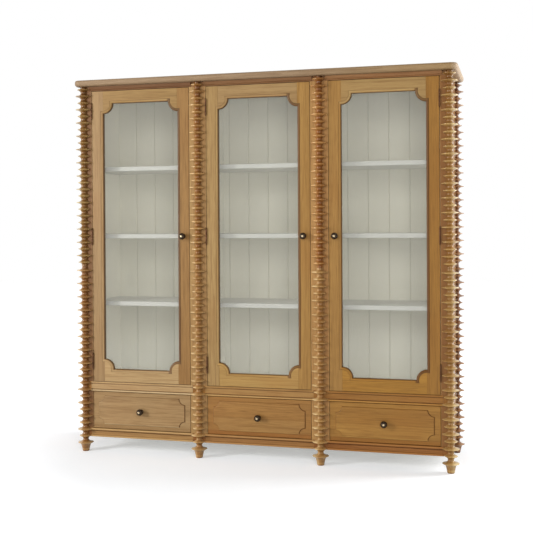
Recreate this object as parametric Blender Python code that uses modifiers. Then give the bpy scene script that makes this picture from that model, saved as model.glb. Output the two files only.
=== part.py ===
"""Glass-door bookcase with turned disc posts: three glazed doors over three drawers.

Metres, +Z up. The front faces -Y and the origin is on the floor under the middle of the case.
"""

import math

import bmesh
import bpy
from mathutils import Matrix, Vector

# Case
BAY_NAMES = ("left", "middle", "right")
POST_PITCH = 0.691
CASE_DEPTH = 0.460
CASE_BOTTOM_Z = 0.084
SIDE_THICKNESS = 0.022
PARTITION_THICKNESS = 0.022
BOARD_THICKNESS = 0.020
BACK_THICKNESS = 0.014
HOUSING_DEPTH = 0.006

# Beaded boards of the back
BEAD_BOARD_PITCH = 0.120
BEAD_GROOVE_WIDTH = 0.008
BEAD_GROOVE_DEPTH = 0.004

# Top board
TOP_Z = 2.128
TOP_THICKNESS = 0.035
TOP_OVERHANG = 0.0455
TOP_CORNER_RADIUS = 0.035
TOP_EDGE_RADIUS = 0.011

# Turned posts, each with two turned lengths that meet at the joint height
LARGE_DISC_RADIUS = 0.0445
SMALL_DISC_RADIUS = 0.0335
POST_CORE_RADIUS = 0.017
DISC_PITCH = 0.03808
POST_NECK = 0.0155
POST_JOINT_Z = 1.062
FOOT_DISC_Z = 0.0505
FOOT_TOP_RADIUS = 0.027
FOOT_WAIST_RADIUS = 0.0215
FOOT_BASE_RADIUS = 0.019
FOOT_BASE_HEIGHT = 0.006
COVE_SHARE = 0.42
POST_SIDES = 10

# Face frame: stiles behind the posts, half-lapped with three rails
FRAME_THICKNESS = 0.022
FACE_STILE_HALF_WIDTH = 0.049
TOP_RAIL_HEIGHT = 0.025
MID_RAIL_HEIGHT = 0.0555
BOTTOM_RAIL_HEIGHT = 0.050
DRAWER_OPENING_HEIGHT = 0.212
NOSING_HEIGHT = 0.012
NOSING_PROJECTION = 0.008
LIP_HEIGHT = 0.010
LIP_PROJECTION = 0.005
MOULDING_FACETS = 5

# Shelves
SHELF_COUNT = 3
SHELF_THICKNESS = 0.0245
SHELF_SPACING = 0.3885
SHELF_SETBACK = 0.070

# Doors
DOOR_THICKNESS = 0.026
DOOR_SIDE_GAP = 0.0024
DOOR_END_GAP = 0.002
DOOR_STILE_WIDTH = 0.069
DOOR_RAIL_WIDTH = 0.072
SCOOP_RADIUS = 0.057
SCOOP_FACETS = 8
GLASS_THICKNESS = 0.004
GLASS_SEAT_DEPTH = 0.016
GLASS_REBATE = 0.009

# Hinges
HINGE_LENGTH = 0.085
HINGE_INSET = 0.115
BARREL_RADIUS = 0.004
BARREL_STANDOFF = 0.0005
BARREL_FACETS = 12
LEAF_THICKNESS = 0.0018
LEAF_WIDTH = 0.020

# Knobs
KNOB_RADIUS = 0.0185
KNOB_HALF_LENGTH = 0.0160
KNOB_CENTRE = 0.0242
KNOB_NECK_RADIUS = 0.0065
KNOB_ROSE_RADIUS = 0.0135
KNOB_ROSE_THICKNESS = 0.004
KNOB_SIDES = 12
KNOB_FACETS = 6

# Drawers
DRAWER_GAP = 0.002
DRAWER_FRONT_THICKNESS = 0.022
DRAWER_BACK_CLEARANCE = 0.0334
DRAWER_BOX_HEIGHT = 0.165
DRAWER_BOX_WALL = 0.012
DRAWER_BOX_SIDE_GAP = 0.004
FIELD_SIDE_MARGIN = 0.032
FIELD_END_MARGIN = 0.022
FIELD_SCOOP_RADIUS = 0.034
FIELD_RISE = 0.0045

# Gap between touching pieces, and how far a cutter runs past what it cuts
FIT = 0.0003
CUTTER_MARGIN = 0.05

# Heights and planes that follow from the sizes above
BAY_COUNT = len(BAY_NAMES)
CASE_HALF_WIDTH = BAY_COUNT * POST_PITCH / 2
FRONT_Y = (TOP_OVERHANG - CASE_DEPTH) / 2
BACK_Y = FRONT_Y + CASE_DEPTH
INSIDE_FRONT_Y = FRONT_Y + FRAME_THICKNESS + FIT
INSIDE_BACK_Y = BACK_Y - BACK_THICKNESS - FIT
TOP_UNDERSIDE_Z = TOP_Z - TOP_THICKNESS
CASE_TOP_Z = TOP_UNDERSIDE_Z - FIT
DRAWER_OPENING_Z = CASE_BOTTOM_Z + BOTTOM_RAIL_HEIGHT
MID_RAIL_Z = DRAWER_OPENING_Z + DRAWER_OPENING_HEIGHT
DOOR_OPENING_Z = MID_RAIL_Z + MID_RAIL_HEIGHT
TOP_RAIL_Z = TOP_UNDERSIDE_Z - TOP_RAIL_HEIGHT
DOOR_Z = DOOR_OPENING_Z + DOOR_END_GAP
DOOR_TOP_Z = TOP_RAIL_Z - DOOR_END_GAP
GLASS_OPENING_Z = DOOR_Z + DOOR_RAIL_WIDTH
GLASS_OPENING_TOP_Z = DOOR_TOP_Z - DOOR_RAIL_WIDTH
DOOR_MIDDLE_Z = (DOOR_Z + DOOR_TOP_Z) / 2
LAP_Y = FRONT_Y + FRAME_THICKNESS / 2
PIVOT_Y = FRONT_Y - BARREL_STANDOFF - BARREL_RADIUS
PIVOT_OFFSET = FACE_STILE_HALF_WIDTH + DOOR_SIDE_GAP / 2
POST_XS = [index * POST_PITCH - CASE_HALF_WIDTH for index in range(BAY_COUNT + 1)]
SHELF_NAMES = ("lower", "middle", "upper")

# Turns that lay a flat outline in a plane, and the axis along which it is extruded
PLANE_TURNS = {
    "XY": (0.0, 0.0, 0.0),
    "XZ": (math.pi / 2, 0.0, 0.0),
    "YZ": (math.pi / 2, 0.0, math.pi / 2),
}
PLANE_AXES = {"XY": Vector((0, 0, 1)), "XZ": Vector((0, 1, 0)), "YZ": Vector((1, 0, 0))}


def clear_scene():
    for obj in list(bpy.data.objects):
        bpy.data.objects.remove(obj, do_unlink=True)


def make_collection(name):
    collection = bpy.data.collections.new(name)
    bpy.context.scene.collection.children.link(collection)
    return collection


def make_material(name, colour, roughness, metallic=0.0, transmission=0.0):
    material = bpy.data.materials.new(name)
    material.use_nodes = True
    shader = material.node_tree.nodes["Principled BSDF"]
    shader.inputs["Base Color"].default_value = (*colour, 1.0)
    shader.inputs["Roughness"].default_value = roughness
    shader.inputs["Metallic"].default_value = metallic
    shader.inputs["Transmission Weight"].default_value = transmission
    return material


clear_scene()
PARTS = make_collection("glass_door_bookcase")
CUTTERS = make_collection("bookcase_cutters")
CUTTERS.hide_render = True
MATERIALS = {
    "post_pine": make_material("post_pine", (0.43, 0.25, 0.11), 0.55),
    "frame_pine": make_material("frame_pine", (0.41, 0.24, 0.10), 0.50),
    "door_pine": make_material("door_pine", (0.44, 0.26, 0.11), 0.50),
    "drawer_pine": make_material("drawer_pine", (0.40, 0.23, 0.09), 0.50),
    "box_pine": make_material("box_pine", (0.55, 0.38, 0.20), 0.60),
    "interior_paint": make_material("interior_paint", (0.66, 0.65, 0.58), 0.60),
    "glass": make_material("glass", (0.95, 0.97, 0.95), 0.03, 0.0, 1.0),
    "bronze": make_material("bronze", (0.09, 0.07, 0.05), 0.35, 1.0),
}


def add_part(name, mesh, material, parent=None):
    """A node of the bookcase, kept where it is when it is given a parent."""
    part = bpy.data.objects.new(name, mesh)
    if not mesh.materials:
        mesh.materials.append(MATERIALS[material])
    PARTS.objects.link(part)
    if parent:
        part.parent = parent
        part.matrix_parent_inverse = parent.matrix_basis.inverted()
    return part


def add_pivot(name, location):
    pivot = bpy.data.objects.new(name, None)
    pivot.location = location
    PARTS.objects.link(pivot)
    return pivot


def box_mesh(name, low, high):
    """A box about its own middle, and where that middle lies."""
    size = Vector(high) - Vector(low)
    shape = bmesh.new()
    bmesh.ops.create_cube(shape, size=1.0, matrix=Matrix.Diagonal((*size, 1.0)))
    mesh = bpy.data.meshes.new(name)
    shape.to_mesh(mesh)
    shape.free()
    return mesh, (Vector(low) + Vector(high)) / 2


def block(name, low, high, material, parent=None):
    mesh, middle = box_mesh(name, low, high)
    part = add_part(name, mesh, material, parent)
    part.location = middle
    return part


def cutter_block(name, low, high):
    mesh, middle = box_mesh(name, low, high)
    cutter = bpy.data.objects.new(name, mesh)
    cutter.location = middle
    return hide_cutter(cutter)


def hide_cutter(cutter):
    cutter.hide_render = True
    cutter.display_type = "WIRE"
    CUTTERS.objects.link(cutter)
    return cutter


def outline_mesh(name, outline, low, high, plane):
    """A flat outline in a plane, extruded from low to high along the plane's axis."""
    curve = bpy.data.curves.new(name, "CURVE")
    curve.dimensions = "2D"
    curve.fill_mode = "BOTH"
    curve.extrude = (high - low) / 2
    spline = curve.splines.new("POLY")
    spline.points.add(len(outline) - 1)
    spline.use_cyclic_u = True
    for point, (u, v) in zip(spline.points, outline):
        point.co = (u, v, 0.0, 1.0)
    holder = bpy.data.objects.new(name, curve)
    holder.rotation_euler = PLANE_TURNS[plane]
    holder.location = PLANE_AXES[plane] * (low + high) / 2
    CUTTERS.objects.link(holder)
    bpy.context.view_layer.update()
    graph = bpy.context.evaluated_depsgraph_get()
    mesh = bpy.data.meshes.new_from_object(holder.evaluated_get(graph))
    place = holder.matrix_world.copy()
    bpy.data.objects.remove(holder)
    shape = bmesh.new()
    shape.from_mesh(mesh)
    bmesh.ops.remove_doubles(shape, verts=shape.verts, dist=1e-6)
    bmesh.ops.recalc_face_normals(shape, faces=shape.faces)
    shape.to_mesh(mesh)
    shape.free()
    mesh.name = name
    mesh.materials.clear()
    return mesh, place


def plate(name, outline, low, high, plane, material, parent=None):
    mesh, place = outline_mesh(name, outline, low, high, plane)
    part = add_part(name, mesh, material, parent)
    part.matrix_basis = place
    return part


def cutter_plate(name, outline, low, high, plane):
    mesh, place = outline_mesh(name, outline, low, high, plane)
    cutter = bpy.data.objects.new(name, mesh)
    cutter.matrix_basis = place
    return hide_cutter(cutter)


def combine(part, tool, operation="DIFFERENCE"):
    modifier = part.modifiers.new(tool.name, "BOOLEAN")
    modifier.operation = operation
    modifier.solver = "EXACT"
    modifier.object = tool


def turned_mesh(name, profile):
    """The outer side of a turning as (radius, height) points from top to bottom."""
    mesh = bpy.data.meshes.new(name)
    vertices = [(radius, 0.0, height) for radius, height in profile]
    edges = [(index, index + 1) for index in range(len(profile) - 1)]
    mesh.from_pydata(vertices, edges, [])
    return mesh


def turn(part, sides):
    screw = part.modifiers.new("turning", "SCREW")
    screw.axis = "Z"
    screw.angle = 2 * math.pi
    screw.steps = sides
    screw.render_steps = sides
    screw.use_merge_vertices = True
    screw.merge_threshold = 0.0001
    screw.use_smooth_shade = True


def arc(centre, radius, start, end, facets):
    """Points on an arc in a plane, from one angle to the other, both ends included."""
    points = []
    for step in range(facets + 1):
        angle = start + (end - start) * step / facets
        points.append((centre[0] + radius * math.cos(angle), centre[1] + radius * math.sin(angle)))
    return points


def scooped_outline(low_u, low_v, high_u, high_v, radius):
    """A rectangle whose corners are hollowed by quarter circles about them."""
    quarter = math.pi / 2
    outline = arc((low_u, low_v), radius, quarter, 0.0, SCOOP_FACETS)
    outline += arc((high_u, low_v), radius, 2 * quarter, quarter, SCOOP_FACETS)
    outline += arc((high_u, high_v), radius, 3 * quarter, 2 * quarter, SCOOP_FACETS)
    outline += arc((low_u, high_v), radius, 4 * quarter, 3 * quarter, SCOOP_FACETS)
    return outline


def through_boards():
    """Name, lower face and upper face of each board that crosses the partitions."""
    boards = [("deck", DOOR_OPENING_Z - BOARD_THICKNESS, DOOR_OPENING_Z)]
    for index in range(SHELF_COUNT):
        middle = DOOR_MIDDLE_Z + (index - (SHELF_COUNT - 1) / 2) * SHELF_SPACING
        name = "shelf_" + SHELF_NAMES[index]
        boards.append((name, middle - SHELF_THICKNESS / 2, middle + SHELF_THICKNESS / 2))
    return boards


def board_front_y(name):
    return INSIDE_FRONT_Y if name == "deck" else FRONT_Y + SHELF_SETBACK


def halving_y(name):
    """Where a board's slot and the partition's slot meet."""
    return (board_front_y(name) + INSIDE_BACK_Y) / 2


def make_top_board():
    half_width = CASE_HALF_WIDTH + TOP_OVERHANG
    front = FRONT_Y - TOP_OVERHANG
    quarter = math.pi / 2
    inner = half_width - TOP_CORNER_RADIUS
    corner_y = front + TOP_CORNER_RADIUS
    outline = arc((inner, corner_y), TOP_CORNER_RADIUS, -quarter, 0.0, SCOOP_FACETS)
    outline += [(half_width, BACK_Y), (-half_width, BACK_Y)]
    outline += arc((-inner, corner_y), TOP_CORNER_RADIUS, 2 * quarter, 3 * quarter, SCOOP_FACETS)
    board = plate("top_board", outline, TOP_UNDERSIDE_Z, TOP_Z, "XY", "frame_pine")
    rounding = board.modifiers.new("rounded_edge", "BEVEL")
    rounding.width = TOP_EDGE_RADIUS
    rounding.segments = 3
    rounding.limit_method = "ANGLE"
    rounding.angle_limit = math.radians(40)


def disc_heights():
    """Height and radius of each disc, from the top board down to the foot."""
    first = TOP_UNDERSIDE_Z - POST_NECK
    clear = 0.4 * DISC_PITCH
    upper_count = int((first - POST_JOINT_Z - clear) / DISC_PITCH) + 1
    lower_count = int((POST_JOINT_Z - clear - FOOT_DISC_Z) / DISC_PITCH) + 1
    upper_radii = (SMALL_DISC_RADIUS, LARGE_DISC_RADIUS)
    discs = [(first - index * DISC_PITCH, upper_radii[index % 2]) for index in range(upper_count)]
    lower_radii = (LARGE_DISC_RADIUS, SMALL_DISC_RADIUS)
    for index in reversed(range(lower_count)):
        discs.append((FOOT_DISC_Z + index * DISC_PITCH, lower_radii[index % 2]))
    return discs


def post_profile():
    """Knife-edged discs with a hollow between each pair, and a waisted foot."""
    discs = disc_heights()
    profile = [(0.0, CASE_TOP_Z), (POST_CORE_RADIUS, CASE_TOP_Z)]
    for index, (height, radius) in enumerate(discs):
        profile.append((radius, height))
        if index + 1 < len(discs):
            middle = (height + discs[index + 1][0]) / 2
            half_hollow = COVE_SHARE * (height - discs[index + 1][0]) / 2
            profile.append((POST_CORE_RADIUS, middle + half_hollow))
            profile.append((POST_CORE_RADIUS, middle - half_hollow))
    foot_top = FOOT_DISC_Z - (LARGE_DISC_RADIUS - FOOT_TOP_RADIUS) / 2
    waist = (foot_top + FOOT_BASE_HEIGHT) / 2
    profile.append((FOOT_TOP_RADIUS, foot_top))
    profile.append((FOOT_WAIST_RADIUS, waist))
    profile += [(FOOT_BASE_RADIUS, FOOT_BASE_HEIGHT), (FOOT_BASE_RADIUS, 0.0), (0.0, 0.0)]
    return profile


def make_posts():
    """Whole turnings with the case cut out of them, so the feet stay round below it."""
    half_width = CASE_HALF_WIDTH + FIT
    past_back = BACK_Y + LARGE_DISC_RADIUS + CUTTER_MARGIN
    past_top = TOP_Z + CUTTER_MARGIN
    case_cutter = cutter_block(
        "case_cutter",
        (-half_width, FRONT_Y - FIT, CASE_BOTTOM_Z - FIT),
        (half_width, past_back, past_top),
    )
    past_side = CASE_HALF_WIDTH + LARGE_DISC_RADIUS + CUTTER_MARGIN
    wall_cutter = cutter_block(
        "wall_cutter", (-past_side, BACK_Y, -CUTTER_MARGIN), (past_side, past_back, past_top)
    )
    mesh = turned_mesh("post_turning", post_profile())
    front_names = ("corner_post_left", "middle_post_left", "middle_post_right", "corner_post_right")
    places = [(name, x, FRONT_Y) for name, x in zip(front_names, POST_XS)]
    places += [("rear_post_left", POST_XS[0], BACK_Y), ("rear_post_right", POST_XS[-1], BACK_Y)]
    for name, x, y in places:
        post = add_part(name, mesh, "post_pine")
        post.location = (x, y, 0.0)
        post.rotation_euler = (0.0, 0.0, math.pi / POST_SIDES)
        turn(post, POST_SIDES)
        combine(post, case_cutter)
        if y == BACK_Y:
            combine(post, wall_cutter)


def make_sides():
    """Side panels with a housing across the inner face for each board that they carry."""
    floors = [(DRAWER_OPENING_Z - BOARD_THICKNESS, DRAWER_OPENING_Z)]
    floors += [(low, high) for _, low, high in through_boards()]
    inner = CASE_HALF_WIDTH - SIDE_THICKNESS
    for name, side in (("side_panel_left", -1), ("side_panel_right", 1)):
        outline = [(side * CASE_HALF_WIDTH, CASE_TOP_Z), (side * CASE_HALF_WIDTH, CASE_BOTTOM_Z)]
        outline.append((side * inner, CASE_BOTTOM_Z))
        for low, high in floors:
            outline.append((side * inner, low - FIT))
            outline.append((side * (inner + HOUSING_DEPTH), low - FIT))
            outline.append((side * (inner + HOUSING_DEPTH), high + FIT))
            outline.append((side * inner, high + FIT))
        outline.append((side * inner, CASE_TOP_Z))
        plate(name, outline, INSIDE_FRONT_Y, BACK_Y, "XZ", "frame_pine")


def make_floors():
    """Bottom board, deck over the drawers and shelves, housed in the side panels."""
    reach = CASE_HALF_WIDTH - SIDE_THICKNESS + HOUSING_DEPTH - FIT
    block(
        "bottom_board",
        (-reach, INSIDE_FRONT_Y, DRAWER_OPENING_Z - BOARD_THICKNESS),
        (reach, INSIDE_BACK_Y, DRAWER_OPENING_Z),
        "interior_paint",
    )
    half_slot = PARTITION_THICKNESS / 2 + FIT
    for name, low, high in through_boards():
        front = board_front_y(name)
        slot_end = halving_y(name) + FIT / 2
        outline = [(reach, INSIDE_BACK_Y), (-reach, INSIDE_BACK_Y), (-reach, front)]
        for x in POST_XS[1:-1]:
            outline += [(x - half_slot, front), (x - half_slot, slot_end)]
            outline += [(x + half_slot, slot_end), (x + half_slot, front)]
        outline.append((reach, front))
        plate(name, outline, low, high, "XY", "interior_paint")


def make_partitions():
    """Partitions slotted from behind, so that each board crosses them in a halving joint."""
    for name, x in zip(("partition_left", "partition_right"), POST_XS[1:-1]):
        outline = [(INSIDE_BACK_Y, CASE_TOP_Z), (INSIDE_FRONT_Y, CASE_TOP_Z)]
        outline += [(INSIDE_FRONT_Y, DRAWER_OPENING_Z + FIT), (INSIDE_BACK_Y, DRAWER_OPENING_Z + FIT)]
        for board, low, high in through_boards():
            slot_end = halving_y(board) - FIT / 2
            outline += [(INSIDE_BACK_Y, low - FIT), (slot_end, low - FIT)]
            outline += [(slot_end, high + FIT), (INSIDE_BACK_Y, high + FIT)]
        half = PARTITION_THICKNESS / 2
        plate(name, outline, x - half, x + half, "YZ", "interior_paint")


def make_back():
    """One panel grooved as beaded boards, flush with the rear edges of the sides."""
    half_width = CASE_HALF_WIDTH - SIDE_THICKNESS - FIT
    face = BACK_Y - BACK_THICKNESS
    groove_count = int(2 * (half_width - BEAD_GROOVE_WIDTH) / BEAD_BOARD_PITCH)
    outline = [(half_width, BACK_Y), (-half_width, BACK_Y), (-half_width, face)]
    for index in range(groove_count):
        x = (index - (groove_count - 1) / 2) * BEAD_BOARD_PITCH
        outline.append((x - BEAD_GROOVE_WIDTH / 2, face))
        outline.append((x, face + BEAD_GROOVE_DEPTH))
        outline.append((x + BEAD_GROOVE_WIDTH / 2, face))
    outline.append((half_width, face))
    plate("back_panel", outline, CASE_BOTTOM_Z, CASE_TOP_Z, "XY", "interior_paint")


def make_face_stiles():
    """Stiles behind the front posts, cut back to half their thickness at each rail."""
    inner_y = FRONT_Y + FRAME_THICKNESS
    lap = LAP_Y + FIT / 2
    outline = [(inner_y, CASE_TOP_Z), (lap, CASE_TOP_Z), (lap, TOP_RAIL_Z - FIT)]
    outline += [(FRONT_Y, TOP_RAIL_Z - FIT), (FRONT_Y, DOOR_OPENING_Z + FIT), (lap, DOOR_OPENING_Z + FIT)]
    outline += [(lap, MID_RAIL_Z - FIT), (FRONT_Y, MID_RAIL_Z - FIT)]
    outline += [(FRONT_Y, DRAWER_OPENING_Z + FIT), (lap, DRAWER_OPENING_Z + FIT)]
    outline += [(lap, CASE_BOTTOM_Z), (inner_y, CASE_BOTTOM_Z)]
    names = ("corner_stile_left", "middle_stile_left", "middle_stile_right", "corner_stile_right")
    for name, x in zip(names, POST_XS):
        low = max(x - FACE_STILE_HALF_WIDTH, -CASE_HALF_WIDTH)
        high = min(x + FACE_STILE_HALF_WIDTH, CASE_HALF_WIDTH)
        plate(name, outline, low, high, "YZ", "frame_pine")


def rail_profile(low, high, mouldings):
    """Section of a rail, with (lower edge, height, projection) of each rounded moulding on its face."""
    inner_y = FRONT_Y + FRAME_THICKNESS
    profile = [(inner_y, high), (inner_y, low)]
    for edge, height, projection in mouldings:
        for step in range(MOULDING_FACETS + 1):
            angle = math.pi * step / MOULDING_FACETS
            bulge = projection * math.sin(angle)
            profile.append((FRONT_Y - bulge, edge + height * (1 - math.cos(angle)) / 2))
    if profile[2][1] > low + FIT:
        profile.insert(2, (FRONT_Y, low))
    if profile[-1][1] < high - FIT:
        profile.append((FRONT_Y, high))
    return profile


def make_rails():
    """Rails that run the whole width, halved over the stiles, moulded only between the posts."""
    nosing = (NOSING_HEIGHT, NOSING_PROJECTION)
    lip = (LIP_HEIGHT, LIP_PROJECTION)
    top = CASE_TOP_Z
    bottom_edge = DRAWER_OPENING_Z - NOSING_HEIGHT
    rails = [
        ("top_rail", TOP_RAIL_Z, top, [(TOP_RAIL_Z, *lip)]),
        ("middle_rail", MID_RAIL_Z, DOOR_OPENING_Z, [(MID_RAIL_Z, *nosing)]),
        ("bottom_rail", CASE_BOTTOM_Z, DRAWER_OPENING_Z, [(CASE_BOTTOM_Z, *lip), (bottom_edge, *nosing)]),
    ]
    inner_y = FRONT_Y + FRAME_THICKNESS
    tools = []
    for index, x in enumerate(POST_XS):
        low, high = x - FACE_STILE_HALF_WIDTH - FIT, x + FACE_STILE_HALF_WIDTH + FIT
        faces = ((LAP_Y - FIT / 2, inner_y + CUTTER_MARGIN), (FRONT_Y - CUTTER_MARGIN, FRONT_Y + FIT))
        for kind, (near, far) in zip(("lap", "post_seat"), faces):
            name = f"{kind}_cutter_{index + 1}"
            tools.append(cutter_block(name, (low, near, -CUTTER_MARGIN), (high, far, TOP_Z + CUTTER_MARGIN)))
    for name, low, high, mouldings in rails:
        profile = rail_profile(low, high, mouldings)
        rail = plate(name, profile, -CASE_HALF_WIDTH, CASE_HALF_WIDTH, "YZ", "frame_pine")
        for tool in tools:
            combine(rail, tool)


def make_hinge(name, x, z):
    """Barrel with the leaf that is fixed to the face stile, as one plan outline."""
    half_leaf = LEAF_THICKNESS / 2
    corner = math.acos(half_leaf / BARREL_RADIUS)
    outline = arc((x, PIVOT_Y), BARREL_RADIUS, corner, -math.pi - corner, BARREL_FACETS)
    leaf_end = FRONT_Y + LEAF_WIDTH
    outline += [(x - half_leaf, leaf_end), (x + half_leaf, leaf_end)]
    plate(name, outline, z - HINGE_LENGTH / 2, z + HINGE_LENGTH / 2, "XY", "bronze")


def knob_profile():
    """Ball, neck and rose, from the crown of the ball back to the wood."""
    crown = math.pi / 2
    neck_angle = -math.acos(KNOB_NECK_RADIUS / KNOB_RADIUS)
    squash = KNOB_HALF_LENGTH / KNOB_RADIUS
    ball = arc((0.0, 0.0), KNOB_RADIUS, crown, neck_angle, KNOB_FACETS)
    profile = [(radius, KNOB_CENTRE + height * squash) for radius, height in ball]
    profile[0] = (0.0, KNOB_CENTRE + KNOB_HALF_LENGTH)
    profile.append((KNOB_NECK_RADIUS, KNOB_ROSE_THICKNESS + FIT))
    profile += [(KNOB_ROSE_RADIUS, KNOB_ROSE_THICKNESS), (KNOB_ROSE_RADIUS, FIT), (0.0, FIT)]
    return profile


def make_knob(name, location, parent):
    knob = add_part(name, turned_mesh(name, knob_profile()), "bronze", parent)
    knob.location = location
    knob.rotation_euler = (math.pi / 2, 0.0, 0.0)
    turn(knob, KNOB_SIDES)


def door_rail_outline(low_x, high_x, outer_z, inner_z):
    """A rail with a quarter disc hanging from each end into the glass opening."""
    inward = 1 if inner_z > outer_z else -1
    quarter = math.pi / 2
    outline = [(low_x, outer_z), (high_x, outer_z)]
    outline += arc((high_x, inner_z), SCOOP_RADIUS, inward * quarter, inward * 2 * quarter, SCOOP_FACETS)
    outline += arc((low_x, inner_z), SCOOP_RADIUS, 0.0, inward * quarter, SCOOP_FACETS)
    return outline


def make_door(bay, low_post, high_post, hinge_side):
    """Glazed door about a pivot on its hinge pins; hinge_side is -1 for the left edge."""
    low = low_post + FACE_STILE_HALF_WIDTH + DOOR_SIDE_GAP
    high = high_post - FACE_STILE_HALF_WIDTH - DOOR_SIDE_GAP
    pivot_x = low_post + PIVOT_OFFSET if hinge_side < 0 else high_post - PIVOT_OFFSET
    pivot = add_pivot(f"door_{bay}_pivot", (pivot_x, PIVOT_Y, DOOR_MIDDLE_Z))
    back = FRONT_Y + DOOR_THICKNESS
    inner_low = low + DOOR_STILE_WIDTH
    inner_high = high - DOOR_STILE_WIDTH
    rebate = cutter_block(
        f"door_{bay}_rebate_cutter",
        (inner_low - GLASS_REBATE, FRONT_Y + GLASS_SEAT_DEPTH, GLASS_OPENING_Z - GLASS_REBATE),
        (inner_high + GLASS_REBATE, back + CUTTER_MARGIN, GLASS_OPENING_TOP_Z + GLASS_REBATE),
    )
    stile_names = ("hinge_stile", "lock_stile") if hinge_side < 0 else ("lock_stile", "hinge_stile")
    members = []
    for kind, x0, x1 in zip(stile_names, (low, inner_high), (inner_low, high)):
        name = f"door_{bay}_{kind}"
        members.append(block(name, (x0, FRONT_Y, DOOR_Z), (x1, back, DOOR_TOP_Z), "door_pine", pivot))
    rails = (("top_rail", DOOR_TOP_Z, GLASS_OPENING_TOP_Z), ("bottom_rail", DOOR_Z, GLASS_OPENING_Z))
    for kind, outer_z, inner_z in rails:
        outline = door_rail_outline(inner_low + FIT, inner_high - FIT, outer_z, inner_z)
        name = f"door_{bay}_{kind}"
        members.append(plate(name, outline, FRONT_Y, back, "XZ", "door_pine", pivot))
    for member in members:
        combine(member, rebate)
    glass_front = FRONT_Y + GLASS_SEAT_DEPTH + FIT
    spare = GLASS_REBATE - FIT
    block(
        f"door_{bay}_glass",
        (inner_low - spare, glass_front, GLASS_OPENING_Z - spare),
        (inner_high + spare, glass_front + GLASS_THICKNESS, GLASS_OPENING_TOP_Z + spare),
        "glass",
        pivot,
    )
    lock_x = high - DOOR_STILE_WIDTH / 2 if hinge_side < 0 else low + DOOR_STILE_WIDTH / 2
    make_knob(f"door_{bay}_knob", (lock_x, FRONT_Y, DOOR_MIDDLE_Z), pivot)
    heights = (DOOR_Z + HINGE_INSET, DOOR_MIDDLE_Z, DOOR_TOP_Z - HINGE_INSET)
    for position, height in zip(("bottom", "middle", "top"), heights):
        make_hinge(f"hinge_{bay}_{position}", pivot_x, height)


def drawer_box_mesh(name, low, high):
    """An open-topped box skin about its own middle."""
    size = Vector(high) - Vector(low)
    shape = bmesh.new()
    bmesh.ops.create_cube(shape, size=1.0, matrix=Matrix.Diagonal((*size, 1.0)))
    lids = [face for face in shape.faces if face.normal.z > 0.5]
    bmesh.ops.delete(shape, geom=lids, context="FACES_ONLY")
    mesh = bpy.data.meshes.new(name)
    shape.to_mesh(mesh)
    shape.free()
    return mesh


def make_drawer(bay, low_post, high_post):
    """Drawer on the bottom board: front with a raised scooped field, box and knob."""
    low = low_post + FACE_STILE_HALF_WIDTH + DRAWER_GAP
    high = high_post - FACE_STILE_HALF_WIDTH - DRAWER_GAP
    bottom = DRAWER_OPENING_Z + DRAWER_GAP
    top = MID_RAIL_Z - DRAWER_GAP
    middle = ((low + high) / 2, FRONT_Y, (bottom + top) / 2)
    slide = add_pivot(f"drawer_{bay}_slide", middle)
    back = FRONT_Y + DRAWER_FRONT_THICKNESS
    front = block(f"drawer_{bay}_front", (low, FRONT_Y, bottom), (high, back, top), "drawer_pine", slide)
    field = scooped_outline(
        low + FIELD_SIDE_MARGIN,
        bottom + FIELD_END_MARGIN,
        high - FIELD_SIDE_MARGIN,
        top - FIELD_END_MARGIN,
        FIELD_SCOOP_RADIUS,
    )
    field_back = FRONT_Y + DRAWER_FRONT_THICKNESS / 2
    raised = cutter_plate(f"drawer_{bay}_field", field, FRONT_Y - FIELD_RISE, field_back, "XZ")
    combine(front, raised, "UNION")
    make_knob(f"drawer_{bay}_knob", (middle[0], FRONT_Y - FIELD_RISE, middle[2]), slide)
    box_floor = DRAWER_OPENING_Z + FIT
    box_low = (low + DRAWER_BOX_SIDE_GAP, back + FIT, box_floor)
    box_back = INSIDE_BACK_Y - DRAWER_BACK_CLEARANCE
    box_high = (high - DRAWER_BOX_SIDE_GAP, box_back, box_floor + DRAWER_BOX_HEIGHT)
    name = f"drawer_{bay}_box"
    box = add_part(name, drawer_box_mesh(name, box_low, box_high), "box_pine", slide)
    box.location = (Vector(box_low) + Vector(box_high)) / 2
    walls = box.modifiers.new("walls", "SOLIDIFY")
    walls.thickness = DRAWER_BOX_WALL
    walls.offset = -1.0
    walls.use_even_offset = True


def main():
    make_top_board()
    make_posts()
    make_sides()
    make_floors()
    make_partitions()
    make_back()
    make_face_stiles()
    make_rails()
    hinge_sides = (-1, -1, 1)
    for index, bay in enumerate(BAY_NAMES):
        low_post, high_post = POST_XS[index], POST_XS[index + 1]
        make_door(bay, low_post, high_post, hinge_sides[index])
        make_drawer(bay, low_post, high_post)


main()
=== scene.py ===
"""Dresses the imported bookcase: turned posts, moulded rails, framed doors, drawers, hardware and finishes."""
import math
from functools import cached_property

import bmesh
import bpy
from mathutils import Matrix, Vector


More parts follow.
